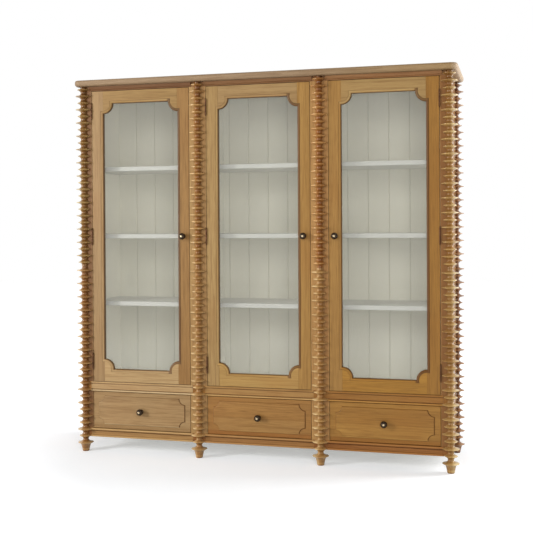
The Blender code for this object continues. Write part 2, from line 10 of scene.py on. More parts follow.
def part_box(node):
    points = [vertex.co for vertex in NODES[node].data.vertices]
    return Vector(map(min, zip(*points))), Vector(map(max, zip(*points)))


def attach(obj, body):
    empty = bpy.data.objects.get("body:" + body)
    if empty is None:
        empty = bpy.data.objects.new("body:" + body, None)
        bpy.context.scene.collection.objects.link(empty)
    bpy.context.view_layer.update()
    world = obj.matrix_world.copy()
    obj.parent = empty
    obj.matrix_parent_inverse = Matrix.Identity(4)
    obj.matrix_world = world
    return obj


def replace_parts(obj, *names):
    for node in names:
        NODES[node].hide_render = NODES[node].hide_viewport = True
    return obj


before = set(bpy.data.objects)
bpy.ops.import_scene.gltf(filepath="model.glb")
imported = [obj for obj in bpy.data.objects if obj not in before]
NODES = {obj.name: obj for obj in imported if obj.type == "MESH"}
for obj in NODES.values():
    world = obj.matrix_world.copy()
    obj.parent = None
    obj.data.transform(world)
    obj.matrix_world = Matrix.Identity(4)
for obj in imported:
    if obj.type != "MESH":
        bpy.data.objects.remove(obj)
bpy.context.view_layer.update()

# Sizes repeated from the solids, in metres
POST_PITCH = 0.691
CASE_DEPTH = 0.460
CASE_HALF = 1.5 * POST_PITCH
CASE_BOTTOM_Z = 0.084
SIDE_THICKNESS = 0.022
STILE_HALF = 0.049
FRAME_THICKNESS = 0.022
TOP_Z = 2.128
TOP_THICKNESS = 0.035
TOP_OVERHANG = 0.0455
TOP_CORNER = 0.035
TOP_UNDERSIDE_Z = TOP_Z - TOP_THICKNESS
FRONT_Y = (TOP_OVERHANG - CASE_DEPTH) / 2
BACK_Y = FRONT_Y + CASE_DEPTH
POST_XS = [index * POST_PITCH - CASE_HALF for index in range(4)]
BAYS = ("left", "middle", "right")
DISC_PITCH = 0.03808
FIT = 0.0003

QUARTER = math.pi / 2
FULL_TURN = 4 * QUARTER


# Colours
def srgb(red, green, blue):
    """Linear colour of an sRGB colour written in 0..255."""
    def linear(value):
        value /= 255.0
        return value / 12.92 if value <= 0.04045 else ((value + 0.055) / 1.055) ** 2.4
    return linear(red), linear(green), linear(blue)


def tinted(colour, factors):
    """A colour times one factor, or times a factor for each channel."""
    if isinstance(factors, float):
        factors = (factors,) * 3
    return tuple(channel * factor for channel, factor in zip(colour, factors))


# Node helpers
class Tree:
    """The nodes of a material or a world, with short ways to add and link them."""

    def __init__(self, owner, shader="Principled BSDF"):
        owner.use_nodes = True
        self.owner = owner
        self.nodes = owner.node_tree.nodes
        self.links = owner.node_tree.links
        self.shader = self.nodes[shader]

    @cached_property
    def position(self):
        return self.add("ShaderNodeTexCoord").outputs["Object"]

    @cached_property
    def axes(self):
        return self.add("ShaderNodeSeparateXYZ", {0: self.position}).outputs

    def add(self, kind, inputs=None, **settings):
        node = self.nodes.new(kind)
        for key, value in settings.items():
            setattr(node, key, value)
        for key, value in (inputs or {}).items():
            self.put(node.inputs[key], value)
        return node

    def put(self, socket, value):
        """Links a socket or a node's first output, or sets a constant."""
        if isinstance(value, bpy.types.Node):
            value = value.outputs[0]
        if isinstance(value, bpy.types.NodeSocket):
            self.links.new(value, socket)
        elif socket.type == "RGBA":
            socket.default_value = (*value, 1.0)
        else:
            socket.default_value = value

    def set(self, key, value):
        self.put(self.shader.inputs[key], value)

    def show(self, shader):
        """Puts another shader in the place of the material's own."""
        self.put(self.nodes["Material Output"].inputs["Surface"], shader)
        self.nodes.remove(self.shader)

    def math(self, operation, a, b=0.0):
        return self.add("ShaderNodeMath", {0: a, 1: b}, operation=operation).outputs[0]

    def times(self, first, *others):
        for other in others:
            first = self.math("MULTIPLY", first, other)
        return first

    def length(self, vector):
        return self.add("ShaderNodeVectorMath", {0: vector}, operation="LENGTH").outputs["Value"]

    def off_axis(self, u, v):
        """Distance from an axis, from the two coordinates across it."""
        return self.length(self.add("ShaderNodeCombineXYZ", {0: u, 1: v}))

    def ramp(self, value, *stops):
        """A colour for a value, from (value, colour) stops."""
        node = self.add("ShaderNodeValToRGB", {"Fac": value})
        elements = node.color_ramp.elements
        while len(elements) < len(stops):
            elements.new(0.5)
        for element, (place_on_ramp, colour) in zip(elements, stops):
            element.position = place_on_ramp
            element.color = (*colour, 1.0)
        return node.outputs["Color"]

    def mix(self, factor, a, b, blend="MIX"):
        inputs = {"Factor": factor, 6: a, 7: b}
        return self.add("ShaderNodeMix", inputs, data_type="RGBA", blend_type=blend).outputs[2]

    def span(self, value, low, high, to_low=0.0, to_high=1.0):
        inputs = {"Value": value, "From Min": low, "From Max": high, "To Min": to_low, "To Max": to_high}
        return self.add("ShaderNodeMapRange", inputs).outputs["Result"]

    def noise(self, vector, scale, detail=3.0, roughness=0.5, distortion=0.0):
        inputs = {"Vector": vector, "Scale": scale, "Detail": detail}
        inputs.update({"Roughness": roughness, "Distortion": distortion})
        return self.add("ShaderNodeTexNoise", inputs).outputs["Fac"]

    def stretched(self, scale, offset):
        inputs = {"Vector": self.position, "Scale": scale, "Location": offset}
        return self.add("ShaderNodeMapping", inputs).outputs["Vector"]

    def bump(self, height, strength, distance):
        inputs = {"Height": height, "Strength": strength, "Distance": distance}
        self.set("Normal", self.add("ShaderNodeBump", inputs))


def new_material(name):
    return Tree(bpy.data.materials.new(name))


# Pine: factors on a wood's tone
LATE_WOOD = (0.52, 0.42, 0.32)
EARLY_WOOD = (1.16, 1.19, 1.24)
RUDDY_WOOD = (0.84, 0.68, 0.54)
KNOT_HEART = (0.30, 0.19, 0.12)
# Painted shade in gaps and recesses
PAINTED_SHADE = (0.29, 0.16, 0.065)
# Painted shade in the mouldings round the glass
MOULDING_SHADE = (0.27, 0.18, 0.11)
# Painted shadow of a post on the stile behind it
POST_SHADOW = (0.50, 0.34, 0.24)
# Painted highlight on beads
BEAD_HIGHLIGHT = (1.42, 1.62, 2.00)

EVEN = (1.0, 1.0, 1.0)
PATTERN_SHIFT = (1.713, 2.371, 0.937)
GRAIN_STRETCH = 0.035
KNOT_STRETCH = 0.55
WAX_GLEAM = (1.0, 0.90, 0.76)


def drawn_out(grain, stretch):
    """Scales that draw a pattern out along one axis."""
    return tuple(stretch if axis == grain else 1.0 for axis in "XYZ")


def add_knots(tree, colour, grain, tone, shift):
    """Dark hearts with a halo, in about a quarter of the cells of a pattern."""
    space = tree.stretched(drawn_out(grain, KNOT_STRETCH), shift)
    wobble = tree.noise(space, 26.0, detail=2.0)
    cells = tree.add("ShaderNodeTexVoronoi", {"Vector": space, "Scale": 5.2})
    distance = tree.math("ADD", cells.outputs["Distance"], tree.times(wobble, 0.055))
    pick = tree.add("ShaderNodeSeparateColor", {0: cells.outputs["Color"]}).outputs[0]
    chosen = tree.math("GREATER_THAN", pick, 0.72)
    halo = tree.times(tree.span(distance, 0.20, 0.06, 0.0, 0.45), chosen)
    core = tree.times(tree.span(distance, 0.085, 0.045), chosen, 0.85)
    colour = tree.mix(halo, colour, tinted(tone, LATE_WOOD))
    return tree.mix(core, colour, tinted(tone, KNOT_HEART))


def wood_colour(tree, grain, tone, seed, figure=1.0, knots=True):
    """Pine: broad figure, growth lines, fine fibres and a few knots. Returns colour and height."""
    shift = tuple(seed * step for step in PATTERN_SHIFT)
    along = tree.stretched(drawn_out(grain, GRAIN_STRETCH), shift)
    broad = tree.noise(along, 8.0, distortion=0.8)
    lines = tree.noise(along, 105.0, detail=4.0, roughness=0.6, distortion=1.2)
    fibre = tree.noise(along, 400.0, detail=2.0, roughness=0.6)
    patch = tree.noise(tree.stretched(EVEN, shift), 2.3, detail=2.0)
    dark = tinted(tone, LATE_WOOD)
    colour = tree.ramp(broad, (0.34, tinted(tone, 0.86)), (0.50, tone), (0.66, tinted(tone, EARLY_WOOD)))
    colour = tree.mix(tree.span(lines, 0.46, 0.64, 0.0, 0.50 * figure), colour, dark)
    colour = tree.mix(tree.span(fibre, 0.40, 0.70, 0.0, 0.34 * figure), colour, dark)
    colour = tree.mix(tree.span(patch, 0.50, 0.78, 0.0, 0.42), colour, tinted(tone, RUDDY_WOOD))
    if knots:
        colour = add_knots(tree, colour, grain, tone, shift)
    height = tree.math("ADD", tree.times(lines, 0.6), tree.times(fibre, 0.4))
    return colour, height


class Pine(Tree):
    """Waxed pine sawn along one axis; other tones, painted highlights and painted shade are laid over its
    figure one after the other.
    """

    def __init__(self, name, grain, tone, seed, figure=1.0, knots=True):
        super().__init__(bpy.data.materials.new(name))
        self.tone = tone
        self.colour, self.height = wood_colour(self, grain, tone, seed, figure, knots)

    @cached_property
    def depth(self):
        """Distance behind the front of the case."""
        return self.math("SUBTRACT", self.axes[1], FRONT_Y)

    def stain(self, strength, factors):
        """Draws the colour towards the wood's tone times the factors."""
        self.colour = self.mix(strength, self.colour, tinted(self.tone, factors))
        return self

    def retone(self, strength, factors):
        """Multiplies the colour by the factors."""
        self.colour = self.mix(strength, self.colour, factors, "MULTIPLY")
        return self

    def zone(self, axis, begins, full, factors):
        """Another tone beyond a place on one axis, from where it begins to where it is full."""
        return self.retone(self.span(self.axes[axis], begins, full), factors)

    def painted_edge_shade(self):
        """Painted shade on the sides of a board that stands in the front, but not at its back, for the dark
        gaps beside it.
        """
        shade_mask = self.span(self.depth, 0.0006, 0.0040, 0.0, 0.72)
        return self.stain(self.times(shade_mask, self.span(self.depth, 0.0215, 0.0170)), PAINTED_SHADE)

    def painted_recess_shade(self, shallow, deep, factors=PAINTED_SHADE, right_of=None, across=None):
        """Painted shade in recesses, growing to its full strength between two depths behind the front of the
        case.

        It comes further forward to the right of right_of, and grows from weak to full between the two values
        of across, painting the shade heavier on the right."""
        depth = self.depth
        if right_of is not None:
            nearer = self.span(self.axes[0], right_of - 0.008, right_of + 0.008, 0.0, 0.006)
            depth = self.math("ADD", depth, nearer)
        shade_mask = self.span(depth, shallow, deep, 0.0, 0.88)
        if across:
            shade_mask = self.times(shade_mask, self.span(self.axes[0], *across, 0.30, 1.0))
        return self.stain(shade_mask, factors)

    def painted_bead_highlight(self, low, high, blend=0.0016):
        """A painted highlight on a bead between two heights."""
        above = self.span(self.axes[2], low, low + blend)
        below = self.span(self.axes[2], high, high - blend)
        return self.stain(self.times(above, below, self.span(self.height, 0.36, 0.60, 1.0, 0.55)), BEAD_HIGHLIGHT)

    def painted_shadow_beside(self, post_x, side, strength):
        """Painted shadow cast by a post along one side of it."""
        off_post = self.times(self.math("SUBTRACT", self.axes[0], post_x), side)
        near = self.span(off_post, 0.004, 0.014, 0.0, strength)
        return self.stain(self.times(near, self.span(off_post, 0.052, 0.042)), POST_SHADOW)

    def finish(self, gloss=0.45, specular=0.32):
        self.set("Base Color", self.colour)
        self.set("Roughness", self.span(self.height, 0.3, 0.7, gloss + 0.10, gloss - 0.05))
        self.set("Specular IOR Level", specular)
        self.set("Specular Tint", WAX_GLEAM)
        self.bump(self.height, 0.16, 0.0012)
        return self.owner


# Turned wood, painted lighter on one side of each post and darker on the other, as light falls on it
LIT_FROM = {-1: 0.02, 1: 0.15}
LIT_WIDTH = 0.40
PAINTED_LIT_SIDE = (1.28, 1.38, 1.56)
PAINTED_SHADED_SIDE = (0.84, 0.75, 0.62)
BLOTCH = (0.67, 0.52, 0.40)
PAINTED_HOLLOW_SHADE = (0.42, 0.28, 0.16)
PAINTED_RIM_HIGHLIGHT = (1.26, 1.36, 1.55)
# Painted shadow under the top board's overhang
UNDER_TOP_SHADOW = (0.72, 0.64, 0.57)
UNDER_TOP_SHADOW_REACH = (0.120, 0.040)


def turned_pine(name, tone, hollow_shade, lit_side, seed, disc_z):
    """Pine about an upright axis through the object's origin: painted highlights on the rims, painted shade in
    the hollows.

    It is painted lit on its left (-1) or right (1) side, painted in shade beyond the middle, and painted in
    shadow under the top."""
    wood = Pine(name, "Z", tone, seed, knots=False)
    x, y, z = wood.axes
    radius = wood.off_axis(x, y)
    turns = wood.math("DIVIDE", wood.math("SUBTRACT", z, disc_z), DISC_PITCH)
    phase = wood.math("SUBTRACT", wood.math("FRACT", wood.math("ADD", turns, 100.5)), 0.5)
    off_disc = wood.times(wood.math("ABSOLUTE", phase), DISC_PITCH)
    blotch = wood.noise(wood.stretched((1.0, 1.0, 0.35), (seed * 3.1, 0.0, seed)), 11.0)
    # Masks for a painted lit side and a painted shaded side
    towards = wood.times(wood.math("DIVIDE", x, wood.math("MAXIMUM", radius, 0.004)), lit_side)
    painted_lit = wood.span(towards, LIT_FROM[lit_side], LIT_FROM[lit_side] + LIT_WIDTH)
    painted_shaded = wood.times(wood.span(painted_lit, 1.0, 0.0), wood.span(towards, -0.98, -0.72))
    painted_hollow = wood.times(wood.span(radius, 0.034, 0.020), wood.span(off_disc, 0.003, 0.009), hollow_shade)
    rim_band = wood.times(wood.span(off_disc, 0.0064, 0.0024), wood.span(radius, 0.024, 0.030))
    highlight_patches = wood.span(blotch, 0.66, 0.40, 0.20, 0.90)
    painted_highlight = wood.times(rim_band, highlight_patches, wood.span(painted_lit, 0.0, 1.0, 0.50, 1.0))
    wood.stain(wood.span(blotch, 0.44, 0.66, 0.0, 0.75), BLOTCH)
    # Painted shade in the hollows and painted highlights on the rims
    wood.stain(painted_hollow, PAINTED_HOLLOW_SHADE).stain(painted_highlight, PAINTED_RIM_HIGHLIGHT)
    # Painted light on one side and painted shade beyond the middle
    wood.retone(painted_lit, PAINTED_LIT_SIDE).retone(painted_shaded, PAINTED_SHADED_SIDE)
    # Painted shadow under the top board
    wood.zone(2, *(TOP_UNDERSIDE_Z - reach for reach in UNDER_TOP_SHADOW_REACH), UNDER_TOP_SHADOW)
    return wood.finish(0.22, 0.48)


# Paint
GROOVE_DARKENING = (0.45, 0.40, 0.32)


def paint_colour(tree, tone, seed):
    """Brushed matt paint with a little dirt in broad patches. Returns colour and brush marks."""
    offset = (seed * 1.3, seed * 0.7, seed * 2.1)
    brush = tree.noise(tree.stretched((1.0, 1.0, 0.05), offset), 190.0, detail=2.0)
    patch = tree.noise(tree.stretched(EVEN, offset), 3.0)
    colour = tree.ramp(patch, (0.30, tinted(tone, 0.955)), (0.70, tone))
    return tree.mix(tree.span(brush, 0.40, 0.75, 0.0, 0.20), colour, tinted(tone, 0.90)), brush


def finish_paint(tree, colour, brush, roughness, specular):
    tree.set("Base Color", colour)
    tree.set("Roughness", roughness)
    tree.set("Specular IOR Level", specular)
    tree.bump(brush, 0.10, 0.0006)
    return tree.owner


def paint(name, tone, seed, front=None, front_tone=None):
    """Matt paint, of another tone on a board's front edge; on the shelves that edge is darker than the top,
    painted light and shade for how the lamps light the two faces.
    """
    tree = new_material(name)
    colour, brush = paint_colour(tree, tone, seed)
    if front is not None:
        front_colour, _ = paint_colour(tree, front_tone, seed)
        colour = tree.mix(tree.span(tree.axes[1], front + 0.0012, front + 0.0004), colour, front_colour)
    return finish_paint(tree, colour, brush, tree.span(brush, 0.3, 0.7, 0.52, 0.64), 0.25)


def half_painted(name, wood_tone, paint_tone, seed, axis, limit, groove=None):
    """Pine outside a plane and paint inside it, darker between two places in its grooves."""
    tree = new_material(name)
    wood, _ = wood_colour(tree, "Z", wood_tone, seed)
    coat, brush = paint_colour(tree, paint_tone, seed)
    reach = tree.math("ABSOLUTE", tree.axes[axis])
    outside = tree.math("GREATER_THAN", reach, limit)
    if groove:
        coat = tree.mix(tree.span(reach, *groove, 0.0, 0.42), coat, tinted(paint_tone, GROOVE_DARKENING))
    roughness = tree.span(tree.math("ADD", outside, tree.times(brush, 0.2)), 0.0, 1.1, 0.60, 0.18)
    return finish_paint(tree, tree.mix(outside, coat, wood), brush, roughness, 0.45)


# Metal and glass
def bronze(name, tone, dull, painted_highlight_tone=None):
    """Darkened bronze, rubbed brighter in patches, and on a knob with a painted highlight over a crown about
    its axis.
    """
    tree = new_material(name)
    rub = tree.noise(tree.position, 160.0, roughness=0.6)
    colour = tree.ramp(rub, (0.35, tinted(tone, 0.6)), (0.62, tone), (0.80, tinted(tone, 1.7)))
    if painted_highlight_tone:
        # Painted highlight on the knob's crown
        x, y, z = tree.axes
        painted_highlight = tree.times(tree.span(tree.off_axis(x, z), 0.0068, 0.0030), tree.span(y, -0.030, -0.036))
        colour = tree.mix(painted_highlight, colour, painted_highlight_tone)
    tree.set("Base Color", colour)
    tree.set("Roughness", tree.span(rub, 0.3, 0.7, dull + 0.06, dull - 0.06))
    tree.set("Metallic", 0.85)
    tree.bump(rub, 0.08, 0.0004)
    return tree.owner


def clear_glass(name):
    """Thin pane, clear but for its gloss and a slight haze."""
    tree = new_material(name)
    smear = tree.noise(tree.position, 5.0)
    dull = tree.span(smear, 0.3, 0.7, 0.02, 0.06)
    gloss = tree.add("ShaderNodeBsdfGlossy", {"Roughness": dull, "Color": (0.95, 0.98, 0.96)})
    tint = tree.ramp(smear, (0.3, (0.978, 0.985, 0.978)), (0.7, (0.985, 0.99, 0.985)))
    clear = tree.add("ShaderNodeBsdfTransparent", {"Color": tint})
    fresnel = tree.add("ShaderNodeFresnel", {"IOR": 1.62})
    entering = tree.math("SUBTRACT", 1.0, tree.add("ShaderNodeNewGeometry").outputs["Backfacing"])
    pane = tree.add("ShaderNodeMixShader", {0: tree.times(fresnel, entering), 1: clear, 2: gloss})
    dust = tree.ramp(smear, (0.3, (0.84, 0.82, 0.71)), (0.7, (0.88, 0.86, 0.75)))
    haze = tree.add("ShaderNodeBsdfDiffuse", {"Color": dust})
    amount = tree.span(smear, 0.3, 0.7, 0.100, 0.122)
    tree.show(tree.add("ShaderNodeMixShader", {0: amount, 1: pane, 2: haze}))
    return tree.owner


GLASS = clear_glass("pane_glass")
# The last colour is the knob's painted highlight
BRONZE = bronze("dark_bronze", srgb(58, 46, 34), 0.24, srgb(205, 184, 148))
HINGE_BRONZE = bronze("hinge_bronze", srgb(84, 54, 34), 0.34)


# Pieces
def place(name, mesh, body, material, sharp_angle, origin=(0.0, 0.0, 0.0)):
    """A piece that rides on a body, smooth but for edges of more than an angle in degrees."""
    piece = bpy.data.objects.new(name, mesh)
    piece.location = origin
    bpy.context.scene.collection.objects.link(piece)
    mesh.materials.append(material)
    mesh.shade_smooth()
    mesh.set_sharp_from_angle(angle=math.radians(sharp_angle))
    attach(piece, body)
    return piece


def add_mesh(name, vertices_and_faces, body, material, sharp_angle, origin=(0.0, 0.0, 0.0)):
    vertices, faces = vertices_and_faces
    mesh = bpy.data.meshes.new(name)
    mesh.from_pydata(vertices, [], faces)
    mesh.validate()
    shape = bmesh.new()
    shape.from_mesh(mesh)
    bmesh.ops.recalc_face_normals(shape, faces=shape.faces)
    shape.to_mesh(mesh)
    shape.free()
    return place(name, mesh, body, material, sharp_angle, origin)


def soften(piece, width):
    """Eases the edges of a piece."""
    modifier = piece.modifiers.new("softened", "BEVEL")
    modifier.width = width
    modifier.segments = 2
    modifier.limit_method = "ANGLE"
    modifier.angle_limit = math.radians(35.0)
    return piece


def board(name, low, high, body, slot, material, edge):
    """A box between two corners, with eased edges."""
    (x0, y0, z0), (x1, y1, z1) = low, high
    box = prism([(x0, z0), (x1, z0), (x1, z1), (x0, z1)], y0, y1, "XZ")
    return soften(add_mesh(name, box, body, material, 30), edge)


def dress(node_name, material):
    """Gives a CAD node that is shown as it is its finish."""
    materials = NODES[node_name].data.materials
    materials.clear()
    materials.append(material)


# Shapes, as vertices and faces
def arc(centre, radius, start, end, facets):
    points = []
    for step in range(facets + 1):
        angle = start + (end - start) * step / facets
        points.append((centre[0] + radius * math.cos(angle), centre[1] + radius * math.sin(angle)))
    return points


def loft(loops):
    """A closed skin over loops of points, each joined to the next, with a flat end on the outer two."""
    count = len(loops[0])
    vertices = [point for loop in loops for point in loop]
    faces = [tuple(range(count)), tuple(range(len(vertices) - 1, len(vertices) - count - 1, -1))]
    for level in range(len(loops) - 1):
        here, there = level * count, (level + 1) * count
        for index in range(count):
            after = (index + 1) % count
            faces.append((here + index, there + index, there + after, here + after))
    return vertices, faces


def prism(outline, low, high, plane):
    """An outline in the XZ or YZ plane, pushed along the axis across it."""
    def at(u, v, w):
        return (u, w, v) if plane == "XZ" else (w, u, v)
    return loft([[at(u, v, w) for u, v in outline] for w in (low, high)])


def lathe(profile, start, end, segments):
    """A turned solid between two angles, closed by flat cuts to the axis, or whole over a full turn."""
    whole = end - start > FULL_TURN - 1e-6
    rings = segments if whole else segments + 1
    count = len(profile)
    vertices = []
    for ring in range(rings):
        angle = start + (end - start) * ring / segments
        cosine, sine = math.cos(angle), math.sin(angle)
        vertices += [(radius * cosine, radius * sine, height) for radius, height in profile]
    axis = len(vertices)
    vertices += [(0.0, 0.0, height) for _, height in ((profile[0], profile[-1]) if whole else profile)]
    axis_end = len(vertices) - 1
    faces = []
    for ring in range(segments):
        here, there = ring * count, (ring + 1) % rings * count
        for index in range(count - 1):
            faces.append((here + index, here + index + 1, there + index + 1, there + index))
        faces.append((axis, here, there))
        faces.append((axis_end, there + count - 1, here + count - 1))
    if not whole:
        last = (rings - 1) * count
        for index in range(count - 1):
            faces.append((axis + index, axis + index + 1, index + 1, index))
            faces.append((axis + index, last + index, last + index + 1, axis + index + 1))
    return vertices, faces


# Posts, each turned in two lengths that meet at the joint height
DISC_RADII = (0.0350, 0.0445)
SMALL_R = DISC_RADII[0]
CORE_R = 0.0155
POST_NECK = 0.0155
POST_JOINT_Z = 1.062
POST_SEAM_Z = POST_JOINT_Z + 0.0015
POST_TOP_Z = TOP_UNDERSIDE_Z - FIT
FIRST_DISC_Z = TOP_UNDERSIDE_Z - POST_NECK
FOOT_DISC_Z = 0.0505
RIM_THICKNESS = 0.0046
RIM_EASE = 0.0016
COVE_POINTS = 7
QUARTER_FACETS = 13

# Radius and drop below the foot disc, then radius and height at the floor
FOOT_STEM = ((0.0335, 0.0060), (0.0290, 0.0105), (0.0262, 0.0165), (0.0242, 0.024), (0.0222, 0.033),
             (0.0202, 0.043))
FOOT_BASE = [(0.0198, 0.0035), (0.0190, 0.0012), (0.0180, 0.0)]

# Place, the quarter turns that stand out of the case, the way off its corner, the side painted lit, and for
# the upper and lower length the tone and how strongly painted shade darkens the hollows
POSTS = {
    "corner_post_left": (
        (POST_XS[0], FRONT_Y), (1, 4), (-1, -1), -1, (srgb(163, 137, 90), srgb(172, 138, 92)), (0.92, 0.90)),
    "middle_post_left": (
        (POST_XS[1], FRONT_Y), (2, 4), (0, -1), -1, (srgb(179, 142, 91), srgb(178, 144, 95)), (0.90, 0.55)),
    "middle_post_right": (
        (POST_XS[2], FRONT_Y), (2, 4), (0, -1), -1, (srgb(177, 133, 80), srgb(177, 143, 92)), (0.92, 0.50)),
    "corner_post_right": (
        (POST_XS[3], FRONT_Y), (2, 5), (1, -1), 1, (srgb(187, 157, 103), srgb(175, 145, 94)), (0.85, 0.62)),
    "rear_post_left": (
        (POST_XS[0], BACK_Y), (2, 3), (-1, 0), -1, (srgb(160, 118, 70), srgb(160, 118, 70)), (0.90, 0.90)),
    "rear_post_right": (
        (POST_XS[3], BACK_Y), (3, 4), (1, 0), 1, (srgb(146, 106, 68), srgb(134, 94, 57)), (0.95, 0.95)),
}


def disc_rows():
    """Height and radius of each disc of the upper and the lower length, from the top down."""
    clear = 0.4 * DISC_PITCH
    upper_count = int((FIRST_DISC_Z - POST_JOINT_Z - clear) / DISC_PITCH) + 1
    lower_count = int((POST_JOINT_Z - clear - FOOT_DISC_Z) / DISC_PITCH) + 1
    upper = [(FIRST_DISC_Z - index * DISC_PITCH, DISC_RADII[index % 2]) for index in range(upper_count)]
    lower = [(FOOT_DISC_Z + index * DISC_PITCH, DISC_RADII[(index + 1) % 2]) for index in range(lower_count)]
    return upper, lower[::-1]


def rim(height, radius):
    """The edge of a disc, eased to a narrow flat."""
    half = RIM_THICKNESS / 2
    flat = 0.35 * half
    inner = radius - RIM_EASE
    return [(inner, height + half), (radius, height + flat), (radius, height - flat), (inner, height - half)]


def cove(top, bottom):
    """Hollow between two discs, steep at the rims and round at the core."""
    (z0, r0), (z1, r1) = top, bottom
    z0, z1 = z0 - RIM_THICKNESS / 2, z1 + RIM_THICKNESS / 2
    r0, r1 = r0 - RIM_EASE, r1 - RIM_EASE
    points = []
    for step in range(1, COVE_POINTS + 1):
        share = 0.5 - 0.5 * math.cos(math.pi * step / (COVE_POINTS + 1))
        line = r0 + (r1 - r0) * share
        depth = math.sqrt(max(0.0, 1 - (2 * share - 1) ** 2)) ** 1.2
        points.append((line - (line - CORE_R) * depth, z0 + (z1 - z0) * share))
    return points


def turning(discs, start, end):
    """Profile of a run of discs between the points that it starts and ends with."""
    profile = start + rim(*discs[0])
    for above, below in zip(discs, discs[1:]):
        profile += cove(above, below) + rim(*below)
    return profile + end


def cut_profile(profile, height):
    """The two parts of a profile above and below a height."""
    for index in range(len(profile) - 1):
        (r0, z0), (r1, z1) = profile[index], profile[index + 1]
        if z0 > height >= z1:
            radius = r0 + (r1 - r0) * (z0 - height) / (z0 - z1)
            return profile[: index + 1] + [(radius, height)], [(radius, height)] + profile[index + 1 :]
    raise ValueError("the profile doesn't cross that height")


def post_profiles():
    """Profiles of the upper length, the lower length and the foot."""
    upper, lower = disc_rows()
    upper_end_z, lower_start_z = upper[-1][0], lower[0][0]
    neck = [(SMALL_R - 0.010, POST_TOP_Z), (CORE_R + 0.001, POST_TOP_Z - 0.003),
            (CORE_R + 0.001, POST_TOP_Z - 0.008), (SMALL_R - 0.008, FIRST_DISC_Z + 0.004)]
    upper_end = [(CORE_R + 0.006, upper_end_z - 0.006), (CORE_R, upper_end_z - 0.013),
                 (CORE_R, POST_SEAM_Z + 0.0012), (CORE_R - 0.001, POST_SEAM_Z + 0.0003)]
    lower_start = [(CORE_R - 0.001, POST_SEAM_Z - 0.0003), (CORE_R, POST_SEAM_Z - 0.0012),
                   (CORE_R, lower_start_z + 0.012), (CORE_R + 0.006, lower_start_z + 0.006)]
    foot_end = [(radius, FOOT_DISC_Z - drop) for radius, drop in FOOT_STEM] + FOOT_BASE
    below = turning(lower, lower_start, foot_end)
    lower_length, foot = cut_profile(below, CASE_BOTTOM_Z - 2 * FIT)
    lower_length[-1] = (lower_length[-1][0], CASE_BOTTOM_Z)
    return turning(upper, neck, upper_end), lower_length, foot


def make_posts():
    upper, lower, foot = post_profiles()
    lengths = (("upper", upper, FIRST_DISC_Z), ("lower", lower, FOOT_DISC_Z))
    for number, (name, (at, quarters, off, lit_side, tones, hollow_shade)) in enumerate(POSTS.items()):
        start, end = (quarter * QUARTER for quarter in quarters)
        segments = (quarters[1] - quarters[0]) * QUARTER_FACETS
        origin = (at[0] + off[0] * 2 * FIT, at[1] + off[1] * 2 * FIT, 0.0)
        for k, (length, profile, disc_z) in enumerate(lengths):
            seed = 3.0 + number * 2 + k
            wood = turned_pine(f"{name}_{length}_pine", tones[k], hollow_shade[k], lit_side, seed, disc_z)
            turned = lathe(profile, start, end, segments)
            piece = add_mesh(f"{name}_{length}", turned, "case", wood, 40, origin)
            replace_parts(piece, name)
        rear = at[1] == BACK_Y
        turned = lathe(foot, 2 * QUARTER, FULL_TURN, 26) if rear else lathe(foot, 0.0, FULL_TURN, 48)
        piece = add_mesh(f"{name}_foot", turned, "case", wood, 40, (*at, 0.0))
        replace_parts(piece, name)


# Top board: how far its edge is rounded in and how much of its thickness that takes
TOP_ROUND = (0.010, 0.012)
TOP_UNDER_ROUND = (0.015, 0.017)
TOP_FACETS = 8
TOP_CORNER_FACETS = 10


def top_board_section():
    """Distance in from the edge and height, from the upper face to the underside."""
    section = []
    for angle in (QUARTER * step / TOP_FACETS for step in range(TOP_FACETS + 1)):
        section.append((TOP_ROUND[0] * (1 - math.sin(angle)), TOP_Z - TOP_ROUND[1] * (1 - math.cos(angle))))
    for angle in (QUARTER * step / TOP_FACETS for step in range(TOP_FACETS + 1)):
        height = TOP_UNDERSIDE_Z + TOP_UNDER_ROUND[1] * (1 - math.sin(angle))
        section.append((TOP_UNDER_ROUND[0] * (1 - math.cos(angle)), height))
    return section


def make_top_board():
    """Board with a rounded edge along the front and ends; its wood is paler to the right, and its right end is
    painted pale as if brightly lit from that side.
    """
    half = CASE_HALF + TOP_OVERHANG
    x, y = half - TOP_CORNER, FRONT_Y - TOP_OVERHANG + TOP_CORNER
    loops = []
    for inset, height in top_board_section():
        radius = TOP_CORNER - inset
        plan = [(half - inset, BACK_Y)]
        plan += arc((x, y), radius, 0.0, -QUARTER, TOP_CORNER_FACETS)
        plan += arc((-x, y), radius, -QUARTER, -2 * QUARTER, TOP_CORNER_FACETS)
        plan.append((-half + inset, BACK_Y))
        loops.append([(u, v, height) for u, v in plan])
    wood = Pine("top_board_pine", "X", srgb(132, 109, 83), 1.0)
    # The second zone is painted light on the board's right end
    wood.zone(0, 0.30, 1.00, (1.26, 1.26, 1.06)).zone(0, 1.046, 1.078, (1.70, 1.95, 2.80))
    piece = add_mesh("top_board_moulded", loft(loops), "case", wood.finish(0.48), 35)
    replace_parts(piece, "top_board")


# Rails of the face frame, moulded between the posts
def half_round(low, high, bulge, facets):
    """A half-round between two heights on the face, standing out by bulge."""
    run = []
    for step in range(facets + 1):
        angle = math.pi * step / facets
        run.append((-bulge * math.sin(angle), low + (high - low) * (1 - math.cos(angle)) / 2))
    return run


RAIL_END = 0.012
TOP_RAIL_Z = 2.068
TOP_RAIL_HEIGHT = TOP_UNDERSIDE_Z - FIT - TOP_RAIL_Z

